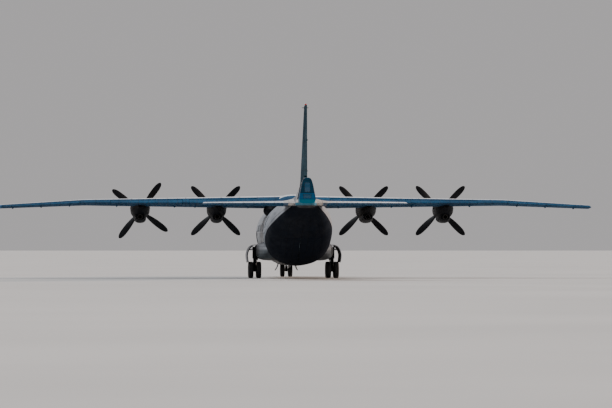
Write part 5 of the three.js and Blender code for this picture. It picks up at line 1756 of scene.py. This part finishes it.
def underside(x, station):
    """Height of the wing's underside."""
    chord = wing_chord(x)
    share = (station - wing_lead(x)) / chord
    return wing_plane(x) - WING_BELOW * chord * half_thickness(share, wing_thick(x)) - TRAIL_EDGE * share


# share of the length, half width and half height
SLIM_FAIRING = [
    (0, 0.012, 0.012), (0.12, 0.04, 0.045), (0.35, 0.055, 0.07), (0.7, 0.058, 0.075), (1, 0.05, 0.06)]


def track(x, length):
    """A fairing under the wing that ends ahead of the flap."""
    _, station, _, nose, _ = wing_hinge(x)
    back = station - nose - SEAM - 0.03
    rows = [(back - length * (1 - t), w, h) for t, w, h in SLIM_FAIRING]
    return fairing([(x, s, underside(x, s) - 0.01, w, h) for s, w, h in rows])


def carriage(x):
    """The part of a flap's track fairing that moves with the flap."""
    _, station, z, nose, chord = wing_hinge(x)
    rows = []
    for t, w, h in SLIM_FAIRING:
        aft = 0.62 * chord * (1 - t)
        rows.append((x, station + aft, z - mix(nose, TRAIL_EDGE, aft / chord) - 0.005, w * 0.9, h * 0.8))
    return fairing(rows)


# surface, x of its tracks and length of the fairings over them
TRACKS = (
    ("flap_inner", (2.9, 6.3), 0.95), ("flap_outer", (7.6, 11.3), 0.95), ("aileron", (14.3, 16.1, 17.9), 0.4))
tracks = [track(x, length) for _, spots, length in TRACKS for x in spots]
dress(both_sides(gathered(tracks)), "flap_track_fairings", FLAP_PAINT, "wing_skin")
for surface, spots, _ in TRACKS:
    dress_pair([carriage(x) for x in spots], f"{surface}_carriages", FLAP_PAINT, "wing_skin",
               body=surface, stands_for=False)

# fairings under the wing roots; their near-black paint is painted shade under the wing
root_duct = cut(fairing([
    (1.45, 14.3, 4.4, 0.12, 0.1), (1.45, 14.7, 4.33, 0.38, 0.3), (1.47, 15.2, 4.3, 0.48, 0.4),
    (1.47, 16.1, 4.3, 0.47, 0.38), (1.45, 16.6, 4.33, 0.3, 0.24), (1.42, 16.9, 4.36, 0.08, 0.06),
], 24), body_solid, wing_body)
dress(both_sides(root_duct), "wing_root_ducts", POD_PAINT, "body_skin")


def lens(x, station, z, size, ahead=1):
    """A half egg that looks ahead or aft."""
    profile = [(math.sin(a) * size, math.cos(a) * size * 2) for a in np.linspace(0, math.pi / 2, 8)]
    return lathe([(0, size * 2), *profile[1:], (0, 0)], (x, y(station), z), (0, ahead, 0), 20)


tip = HALF_SPAN - 0.22
for side, name, glass in ((1, "right", GREEN_GLASS), (-1, "left", RED_GLASS)):
    tip_light = lens(side * tip, wing_lead(tip) + 0.02, wing_plane(tip), 0.045)
    dress(tip_light, f"wing_tip_light_{name}", glass, "beacon_glass")
tail_lights = [lens(side * 0.12, 33.06, 4.62, 0.018, -1) for side in (-1, 1)]
dress(tail_lights, "tail_lights", LAMP_GLASS, "beacon_glass")


def wick(start, length=0.22):
    x, s, z = start
    return tube([(x, y(s - 0.03), z), (x, y(s + length * 0.5), z), (x, y(s + length), z)], 0.006, 6)


dress_pair([wick((x, WING_TRAIL, wing_plane(x))) for x in (14.4, 15.4, 16.4, 17.4, 18.2)],
           "aileron_wicks", SEAL, "wing_skin", body="aileron", stands_for=False)
dress_pair([wick((x, tail_lead(x) + tail_chord(x), TAIL_PLANE)) for x in (3.0, 4.2, 5.4)],
           "elevator_wicks", SEAL, "wing_skin", body="elevator", stands_for=False)
rudder_wicks = [wick((0, fin_trail(z), z)) for z in (8.2, 9.2, 10.1)]
dress(rudder_wicks, "rudder_wicks", SEAL, "wing_skin", body="rudder")
brackets = []
for z in (6.51, 8.35):
    station = rudder_hinge(z)[0]
    brackets.append(fairing([(0.05, station + t, z, 0.02 + w, 0.015 + h) for t, w, h in (
        (0.0, 0, 0), (0.1, 0.03, 0.03), (0.35, 0.035, 0.035), (0.6, 0.01, 0.01))]))
    brackets.append(rod((0.06, y(station + 0.5), z), (0.03, y(station + 0.95), z), 0.01, 8))
dress(brackets, "rudder_tab_links", FIN_PAINT, "wing_skin", body="rudder")
cross = [(x, y(30.5 if abs(x) > 0.1 else 30.46), 10.3) for x in (-0.2, -0.1, 0.1, 0.2)]
dress(tube(cross, 0.022, 10), "fin_cross_aerial", GEAR_PAINT, "wing_skin")


# Fittings of the body
def blade_aerial(station, z, height, chord=0.34, x=0.0):
    rings = []
    for t in (0, 0.4, 0.8, 0.95, 1):
        length = chord * (1 - 0.4 * t) * (0.85 if t == 1 else 1)
        lead = station + 0.45 * abs(height) * t
        thick = 0.018 * (1 - 0.5 * t)
        rings.append([
            (x + thick * math.sin(a), y(lead + length * (1 - math.cos(a)) / 2), z + height * t)
            for a in np.linspace(0, 2 * math.pi, 14, endpoint=False)])
    return loft(rings)


def pitot(station, degrees):
    foot, out = body_spot(station, degrees, -0.02)
    knee = foot + out * 0.13
    ahead = np.array([0, 1, 0])
    return gathered([
        tube([foot, foot + out * 0.09, knee + ahead * 0.02, knee + ahead * 0.07], 0.014, 10),
        rod(knee + ahead * 0.06, knee + ahead * 0.34, 0.011, 12, end_radius=0.007)])


def skin_bar(first, last, lift, radius):
    """A bar that lies over the skin between two spots of (station, degrees)."""
    return tube([body_spot(mix(first[0], last[0], t), mix(first[1], last[1], t), lift)[0]
                 for t in (0, 0.25, 0.5, 0.75, 1)], radius, 8)


aerials = [blade_aerial(4.6, 4.8, 0.3), blade_aerial(7.9, 4.88, 0.36, 0.42), blade_aerial(9.7, 4.88, 0.2),
           blade_aerial(20.6, 4.88, 0.3), blade_aerial(7.2, 0.82, -0.24), blade_aerial(9.4, 0.82, -0.18, 0.5),
           blade_aerial(19.2, 0.86, -0.2)]
dress(aerials + [pitot(1.55, 4), pitot(1.55, 176), pitot(1.75, -8), pitot(1.75, 188)],
      "aerials_and_probes", GEAR_PAINT, "body_skin")
wipers = [skin_bar((2.72, 73), (2.26, 83), 0.028, 0.009), skin_bar((2.72, 107), (2.26, 97), 0.028, 0.009)]
wipers += [rod(*[body_spot(2.76, d, lift)[0] for lift in (-0.02, 0.035)], 0.022, 12) for d in (72.5, 107.5)]
dress(wipers, "windscreen_wipers", SEAL, "body_skin")
# front and back station, first and last angle
hatches = [
    (6.9, 7.7, 78, 102), (19.4, 20.2, 78, 102), (19.1, 19.9, 10, 30), (19.1, 19.9, 150, 170),
    (8.6, 9.2, 28, 44)]
dress([sector_rim(*hatch, 0.001, 0.011) for hatch in hatches], "hatch_edges", SEAL, "body_skin")
low, high = CREW_DOOR_HEIGHTS
corners = rounded((y(CREW_DOOR[1] + 0.04), low - 0.04), (y(CREW_DOOR[0] - 0.04), high + 0.04), 0.16)
outline = []
for (a, b), (c, d) in zip(corners, corners[1:] + corners[:1]):
    steps = max(1, round(math.hypot(c - a, d - b) / 0.08))
    outline += [(mix(a, c, i / steps), mix(b, d, i / steps)) for i in range(steps)]
door_edge = [
    body_spot(LENGTH / 2 - a, 180 - math.degrees(math.asin((b - BODY_MIDDLE) / BODY_RADIUS)), 0.004)[0]
    for a, b in outline]
dress(tube(door_edge, 0.018, 8, closed=True), "crew_door_frame", SEAL, "body_skin")
vents = []
for side, station in ((1, 16.9), (-1, 12.4), (1, 12.4)):
    outer, bottom, top = sponson_row(station)
    at = places(side * (outer - 0.06), station)
    for i in range(6):
        low = (bottom + top) / 2 - 0.15 + 0.06 * i
        vents.append(block(at(-0.09, 0.22, low), at(0.09, -0.22, low + 0.022), 0.006))
power_unit_pipe = lathe(
    [(0.11, -0.15), (0.11, 0.1), (0.125, 0.1), (0.13, -0.16), (0.11, -0.15)],
    (-1.85, y(17.95), 1.72), (0.15, -1, 0), 28)
dress(vents + [power_unit_pipe], "sponson_vents", DARK_STEEL, "body_skin")

# Heavy parts and pipes of the main gear
at = places(MAIN_X, MAIN_STATION)
gear_more = [
    rod(at(-0.25, 0, 1.9), at(-0.125, 0, 1.33), 0.135, 32, bevel=0.012),
    rod(at(0.02, 0.2, 2.0), at(0.02, 0.2, 1.25), 0.13, 32, bevel=0.012),
    rod(at(0.02, 0.2, 1.27), at(0.01, 0.14, 0.8), 0.085, 24, bevel=0.008),
    block(at(-0.084, 0.11, 0.6), at(0.084, -0.11, 1.0), 0.03),
    rod(at(-0.62, -0.55, 1.93), at(-0.4, -0.33, 1.72), 0.055, 20, bevel=0.006),
    rod(at(-0.42, -0.35, 1.74), at(-0.2, -0.1, 1.5), 0.03, 16),
]
for aft in (-0.75, 0.75):
    gear_more.append(rod(at(-0.55, aft, 1.99), at(0.1, aft, 1.86), 0.045, 16, bevel=0.005))
    gear_more.append(rod(at(0.08, aft, 1.864), at(0.435, aft, 1.79), 0.024, 16))
dress_pair(gear_more, "main_leg_fittings", GEAR_DARK, "gear_steel", stands_for=False)

LAMP_CASE = [(0.02, -0.09), (0.07, -0.03), (0.078, 0.02), (0.07, 0.022), (0.02, -0.08)]
LAMP_LENS = [(0, 0.03), (0.05, 0.024), (0.069, 0.01), (0.069, -0.005), (0, -0.005)]
at = places(0, NOSE_STATION)
lamps = [rod(at(side * 0.08, -0.02, 1.16), at(side * 0.2, -0.02, 1.16), 0.02, 12) for side in (-1, 1)]
lamps += [lathe(LAMP_CASE, at(side * 0.2, -0.04, 1.16), AHEAD, 28) for side in (-1, 1)]
dress(lamps, "nose_lamp_cases", GEAR_DARK, "gear_steel")
lamp_lenses = [lathe(LAMP_LENS, at(side * 0.2, -0.04, 1.16), AHEAD, 28) for side in (-1, 1)]
dress(lamp_lenses, "nose_lamp_lenses", LAMP_GLASS, "beacon_glass")

# Inside: ribs and rails of the hold, cushions and controls of the crew
rib_angles = np.linspace(-38, 218, 65)
RIB_STATIONS = (6.95, 7.65, 8.6, 9.1, 10.1, 11, 11.65, 12.55, 13.5, 14.4, 15.3, 16.2, 16.8, 17.65, 18.35)
ribs = [tube(body_points(s, rib_angles, 0.19), 0.034, 8) for s in RIB_STATIONS]
dress(cut(gathered(ribs), wing_body), "hold_ribs", CABIN_GREEN, "cabin_steel")
FLOOR_TOP = 1.55
rails = [block((x - 0.035, y(20.2), FLOOR_TOP + 0.0005), (x + 0.035, y(5.6), 1.578), 0.006)
         for x in (-1.0, -0.4, 0.4, 1.0)]
dress(rails, "hold_floor_rails", GEAR_PAINT, "cabin_steel")


def cushions(name, x, station, floor):
    def at(across, aft, rise):
        return (x + across, y(station + aft), floor + rise)

    base = block(at(-0.21, 0.385, 0.421), at(0.21, 0.02, 0.5), 0.03)
    rest = block(at(-0.2, 0.399, 0.51), at(0.2, 0.32, 1.04), 0.03)
    for pad, part in ((base, "seat"), (rest, "back")):
        dress(pad, f"{name}_{part}_cushion", CLOTH, "cabin_steel")
        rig.padded(pad, fill=0.7)
    fittings = [block(at(dx - 0.02, 0.322, 0.55), at(dx + 0.02, 0.314, 1.0), 0.002) for dx in (-0.1, 0.1)]
    fittings += [tube([at(dx, 0.42, 0.66), at(dx, 0.2, 0.66), at(dx, 0.1, 0.62)], 0.022, 10)
                 for dx in (-0.25, 0.25)]
    dress(fittings, f"{name}_seat_fittings", GEAR_DARK, "cabin_steel")


PILOT_X = 0.56
cushions("captain", -PILOT_X, 2.7, 2.65)
cushions("co_pilot", PILOT_X, 2.7, 2.65)
cushions("navigator", 0.0, 1.5, 1.7)
DIAL = [(0.042, 0), (0.05, 0), (0.05, 0.012), (0.042, 0.014), (0.042, 0)]
DIAL_SPOTS = [(dx, z) for dx in (-0.2, -0.07, 0.06, 0.19) for z in (3.0, 3.13)]
yoke_angles = np.linspace(math.radians(-215), math.radians(35), 16)
controls = []
for x in (-PILOT_X, PILOT_X):
    controls.append(tube([(x, y(2.42), 2.64), (x, y(2.42), 2.9), (x, y(2.47), 3.14)], 0.025, 12))
    yoke = [(x + 0.17 * math.cos(a), y(2.49), 3.16 + 0.12 * math.sin(a)) for a in yoke_angles]
    controls.append(tube(yoke, 0.014, 8))
    controls += [lathe(DIAL, (x + dx, y(2.2605), z), AFT, 24) for dx, z in DIAL_SPOTS]
controls.append(block((-0.17, y(2.9), 2.645), (0.17, y(2.28), 2.92), 0.02))
controls += [rod((dx, y(2.45), 2.9), (dx, y(2.5), 3.02), 0.012, 10) for dx in (-0.09, -0.03, 0.03, 0.09)]
dress(controls, "cockpit_controls", GEAR_DARK, "cabin_steel")


# Repeats along lines, made with geometry nodes
def repeat_tree():
    """Copies of a small shape at a pitch along lines, standing on the vertex attribute named out."""
    tree = bpy.data.node_groups.new("repeats_along_lines", "GeometryNodeTree")
    for name, kind in (("Lines", "Geometry"), ("Shape", "Object"), ("Pitch", "Float"),
                       ("Unevenness", "Float"), ("Seed", "Int"), ("Finish", "Material")):
        tree.interface.new_socket(name, in_out="INPUT", socket_type="NodeSocket" + kind)
    tree.interface.new_socket("Repeats", in_out="OUTPUT", socket_type="NodeSocketGeometry")

    def add(kind, **links):
        node = tree.nodes.new(kind)
        for name, value in links.items():
            socket = node.inputs[name.replace("_", " ")]
            if isinstance(value, bpy.types.NodeSocket):
                tree.links.new(value, socket)
            else:
                socket.default_value = value
        return node

    given = add("NodeGroupInput").outputs
    curve = add("GeometryNodeMeshToCurve", Mesh=given["Lines"])
    resample = tree.nodes.new("GeometryNodeResampleCurve")
    resample.mode = "LENGTH"
    tree.links.new(curve.outputs[0], resample.inputs["Curve"])
    tree.links.new(given["Pitch"], resample.inputs["Length"])
    out = tree.nodes.new("GeometryNodeInputNamedAttribute")
    out.data_type = "FLOAT_VECTOR"
    out.inputs["Name"].default_value = "out"
    stand = add("FunctionNodeAlignRotationToVector", Vector=out.outputs["Attribute"])
    stand.axis = "Z"
    turn = add("FunctionNodeAlignRotationToVector", Rotation=stand.outputs[0],
               Vector=add("GeometryNodeInputTangent").outputs[0])
    turn.axis = "X"
    turn.pivot_axis = "Z"
    size = tree.nodes.new("FunctionNodeRandomValue")
    size.data_type = "FLOAT"
    sockets = {socket.name: socket for socket in size.inputs if socket.enabled}
    low = add("ShaderNodeMath", Value=1.0)
    low.operation = "SUBTRACT"
    tree.links.new(given["Unevenness"], low.inputs[1])
    tree.links.new(low.outputs[0], sockets["Min"])
    sockets["Max"].default_value = 1.0
    tree.links.new(given["Seed"], sockets["Seed"])
    info = add("GeometryNodeObjectInfo", Object=given["Shape"])
    scale = [socket for socket in size.outputs if socket.enabled][0]
    copies = add("GeometryNodeInstanceOnPoints", Points=resample.outputs[0],
                 Instance=info.outputs["Geometry"], Rotation=turn.outputs[0], Scale=scale)
    real = add("GeometryNodeRealizeInstances", Geometry=copies.outputs[0])
    finished = add("GeometryNodeSetMaterial", Geometry=real.outputs[0], Material=given["Finish"])
    tree.links.new(finished.outputs[0], add("NodeGroupOutput").inputs[0])
    return tree


REPEATS = repeat_tree()
seeds = iter(range(1, 100))


def repeated(lines, shape, pitch, material, unevenness=0.12):
    """A plain mesh of copies of a shape along lines of (point, out) pairs."""
    points = [spot for line in lines for spot, _ in line]
    outs = [out for line in lines for _, out in line]
    mesh = bpy.data.meshes.new("lines")
    edges, count = [], 0
    for line in lines:
        edges += [(count + i, count + i + 1) for i in range(len(line) - 1)]
        count += len(line)
    mesh.from_pydata([tuple(map(float, p)) for p in points], edges, [])
    directions = mesh.attributes.new("out", "FLOAT_VECTOR", "POINT").data
    directions.foreach_set("vector", np.array(outs, float).ravel())
    made = linked(mesh, "lines")
    modifier = made.modifiers.new("repeats", "NODES")
    modifier.node_group = REPEATS
    values = {
        "Shape": shape, "Pitch": pitch, "Unevenness": unevenness, "Seed": next(seeds), "Finish": material}
    for item in REPEATS.interface.items_tree:
        if item.in_out == "INPUT" and item.name in values:
            modifier[item.identifier] = values[item.name]
    return settled(made)


rivet = lathe([(0, -0.002), (0.013, -0.002), (0.0115, 0.003), (0.006, 0.0055), (0, 0.0055)], (0, 0, 0), UP, 6)
bolt = lathe([(0, -0.004), (0.016, -0.004), (0.016, 0.01), (0.009, 0.014), (0, 0.014)], (0, 0, 0), UP, 6)
slat = block((-0.02, -0.11, -0.004), (0.02, 0.11, 0.012), 0.005)
ring = tube(
    [(0.035 * math.cos(a), 0, 0.012 + 0.035 * math.sin(a)) for a in np.radians(np.arange(0, 360, 45))],
    0.006, 5, closed=True)
scrap += [rivet, bolt, slat, ring]


def around_body(station, start=0, end=360, step=5):
    return [body_spot(station, a) for a in np.arange(start, end + 0.1, step)]


def along_body(front, back, degrees):
    return [body_spot(s, degrees) for s in np.arange(front, back + 0.01, 0.25)]


def over_wing(x, first, last, top=True):
    """A line across the wing's chord or along its span: (x, share) to (x, share)."""
    line = []
    for t in np.linspace(0, 1, 24):
        px, share = mix(x[0], x[1], t), mix(first, last, t)
        chord = wing_chord(px)
        half = half_thickness(share, wing_thick(px)) * chord
        height = WING_ABOVE * half + TRAIL_EDGE * share if top else -WING_BELOW * half - TRAIL_EDGE * share
        spot = (px, y(wing_lead(px) + share * chord), wing_plane(px) + height)
        line.append((spot, (0, 0, 1 if top else -1)))
    return line


skin_lines = [around_body(joint + gap) for joint in (NOSE_JOINT, COCKPIT_JOINT) for gap in (-0.04, 0.04)]
beside_joints = (FORWARD_JOINT + 0.04, CENTRE_JOINT - 0.04, CENTRE_JOINT + 0.04)
skin_lines += [around_body(s, *span) for span in ((-95, 84), (96, 265)) for s in beside_joints]
skin_lines += [around_body(TAIL_JOINT - 0.04, -60, 240), around_body(8.45, -95, 265)]
skin_lines += [along_body(5.5, 18.4, d) for d in (-62, -30, 64, 116, 242)] + [along_body(7.0, 18.4, 210)]
skin_lines += [along_body(18.8, 27.5, d) for d in (62, 118)] + [along_body(20.2, 27.5, d) for d in (22, 158)]
dress(repeated(skin_lines, rivet, 0.095, BODY_PAINT), "body_rivets", BODY_PAINT, "body_skin")


def belly_height(x, station):
    points = body_points(station, np.linspace(270, 350, 81))
    return float(np.interp(x, points[:, 0], points[:, 2]))


def belly_line(start, end):
    """A line under the rear body between two spots of (x, station)."""
    line = []
    for t in np.linspace(0, 1, 16):
        x, s = mix(start[0], end[0], t), mix(start[1], end[1], t)
        z = belly_height(x, s)
        slope = ((belly_height(x + 0.01, s) - z) / 0.01, -(belly_height(x, s + 0.01) - z) / 0.01, -1)
        line.append(((x, y(s), z), Vector(slope).normalized()))
    return line


front, back = HATCH_FRONT + 0.08, HATCH_MIDDLE - 0.08
leaf_lines = [belly_line((x, front), (x, back)) for x in (0.08, 0.62, HATCH_WIDE - 0.07)]
leaf_lines += [belly_line((0.08, s), (HATCH_WIDE - 0.07, s))
               for s in (front, mix(front, back, 0.33), mix(front, back, 0.67), back)]
dress_pair(repeated(leaf_lines, rivet, 0.085, BELLY_SHADE_PAINT), "cargo_leaf_rivets", BELLY_SHADE_PAINT, "body_skin",
           body="cargo_leaf", stands_for=False)
front, back = HATCH_MIDDLE + 0.1, HATCH_BACK - 0.08
door_lines = [belly_line((hatch_half(front) * t, front), (hatch_half(back) * t, back)) for t in (0.02, 0.94)]
door_lines += [belly_line((0.0, s), (hatch_half(s) * 0.94, s)) for s in (front, mix(front, back, 0.5), back)]
rear_door_rivets = both_sides(repeated(door_lines, rivet, 0.085, BELLY_SHADE_PAINT))
dress(rear_door_rivets, "cargo_rear_door_rivets", BELLY_SHADE_PAINT, "body_skin", body="cargo_rear_door")
wing_lines = [over_wing(span, share, share, top) for span in ((2.2, 18.6), (-2.2, -18.6))
              for share in (0.13, 0.5, 0.62) for top in (True, False)]
wing_lines += [over_wing((x, x), 0.06, 0.62, top) for joint in (WING_INNER_JOINT, WING_OUTER_JOINT)
               for x in (joint - 0.04, joint + 0.04, -joint + 0.04, -joint - 0.04) for top in (True, False)]
dress(repeated(wing_lines, rivet, 0.13, WING_PAINT), "wing_rivets", WING_PAINT, "wing_skin")
cowl_angles = np.radians(np.arange(-30, 211, 6))
pod_lines, slat_lines = [], []
for name, x, station, length, _ in ENGINES:
    for share in (0.2, 0.34):
        points = pod_ring(x, station, length, pod_row, share, cowl_angles)
        pod_lines.append([(spot, (math.cos(a), 0, math.sin(a))) for spot, a in zip(points, cowl_angles)])
    for side in (-1, 1):
        slat_lines.append([
            ((x + side * pod_row(share)[0] * 0.985, y(station + share * length), THRUST_LINE + 0.18),
             (side, 0, 0.25)) for share in np.linspace(0.4, 0.5, 5)])
dress(repeated(pod_lines, rivet, 0.08, DARK_STEEL), "cowling_fasteners", DARK_STEEL, "engine_pod")
dress(repeated(slat_lines, slat, 0.09, POD_PAINT, 0.0), "cowling_slats", POD_PAINT, "engine_pod")
ring_lines = [[((x, y(s), FLOOR_TOP), UP) for s in np.arange(6.0, 20.0, 0.5)] for x in (-1.2, -0.7, 0.7, 1.2)]
dress(repeated(ring_lines, ring, 0.9, STEEL, 0.0), "tie_down_rings", STEEL, "cabin_steel")


def bolt_circle(centre, side, radius, out):
    x, middle, height = centre
    return [
        ((x + side * out, middle + radius * math.cos(a), height + radius * math.sin(a)), (side, 0, 0))
        for a in np.linspace(0, 2 * math.pi, 25)]


for name, centre, radius, twin, _ in WHEELS:
    circles = [bolt_circle(centre, side, radius * 0.31, twin / 2 + TYRE_WIDTH / 2 * 0.39) for side in (-1, 1)]
    bolts = repeated(circles, bolt, radius * 0.31 * 2 * math.pi / 10.01, STEEL, 0.0)
    dress(bolts, f"{name}_bolts", STEEL, "gear_steel", body=name)

# CAD pieces that stay, with finishes of their own
for node, material in (("hold_floor", FLOOR_METAL), ("cockpit_deck", CABIN_GREEN),
                       ("navigator_deck", CABIN_GREEN), ("nose_bay", CAVITY)):
    slots = frame["nodes"][node].data.materials
    slots.clear()
    slots.append(material)

for tool in scrap:
    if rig.alive(tool):
        bpy.data.objects.remove(tool)

# Floor, light and camera
floor_finish = Finish("studio_floor")
floor_tone = floor_finish.noise(0.05, 3)
FLOOR = floor_finish.done(
    floor_finish.blend(floor_finish.spread(floor_tone, 0.3, 0.7), (0.50, 0.49, 0.48), (0.54, 0.53, 0.52)),
    floor_finish.spread(floor_tone, 0.3, 0.7, 0.75, 0.85))
FLOOR_REACH = 2500.0
floor_corners = [(a * FLOOR_REACH, b * FLOOR_REACH, -0.002) for a, b in ((-1, -1), (1, -1), (1, 1), (-1, 1))]
floor = shape_of(floor_corners, [(0, 1, 2, 3)], "floor")
floor.data.materials.append(FLOOR)
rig.stage(floor)


def soft_light(name, travel, strength, spread, colour):
    """A distant lamp as broad as the angle it is spread over."""
    data = bpy.data.lights.new(name, "SUN")
    data.energy = strength
    data.angle = math.radians(spread)
    data.color = colour
    lamp = linked(data, name)
    lamp.rotation_mode = "QUATERNION"
    lamp.rotation_quaternion = Vector(travel).to_track_quat("-Z", "Y")


soft_light("low_side_light", (-1, -0.3, -0.28), 4.0, 14, (1.0, 0.80, 0.66))
soft_light("high_light", (0.5, -0.35, -0.8), 2.2, 50, (0.90, 0.95, 1.0))

world = bpy.data.worlds.new("studio")
world.use_nodes = True
world.node_tree.nodes["Background"].inputs["Color"].default_value = (0.97, 0.94, 0.95, 1)
world.node_tree.nodes["Background"].inputs["Strength"].default_value = 0.45
bpy.context.scene.world = world

CAMERA_AZIMUTH, CAMERA_ELEVATION, CAMERA_DISTANCE, CAMERA_LENS = -2.782, -0.686, 233.62, 216.3
CAMERA_AIM = Vector((0.719, 0, 4.716))
azimuth, elevation = math.radians(CAMERA_AZIMUTH), math.radians(CAMERA_ELEVATION)
level = math.cos(elevation)
back = Vector((math.sin(azimuth) * level, -math.cos(azimuth) * level, math.sin(elevation)))
camera = linked(bpy.data.cameras.new("camera"), "camera")
camera.data.lens = CAMERA_LENS
camera.data.sensor_width = 36
camera.data.clip_start, camera.data.clip_end = 1, 4000
camera.location = CAMERA_AIM + back * CAMERA_DISTANCE
camera.rotation_mode = "QUATERNION"
camera.rotation_quaternion = (-back).to_track_quat("-Z", "Y")
bpy.context.scene.camera = camera

visual_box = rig.bounds()
with open("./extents.json", "w") as file:
    json.dump({"cad": [list(v) for v in cad_box], "visual": [list(v) for v in visual_box]}, file)
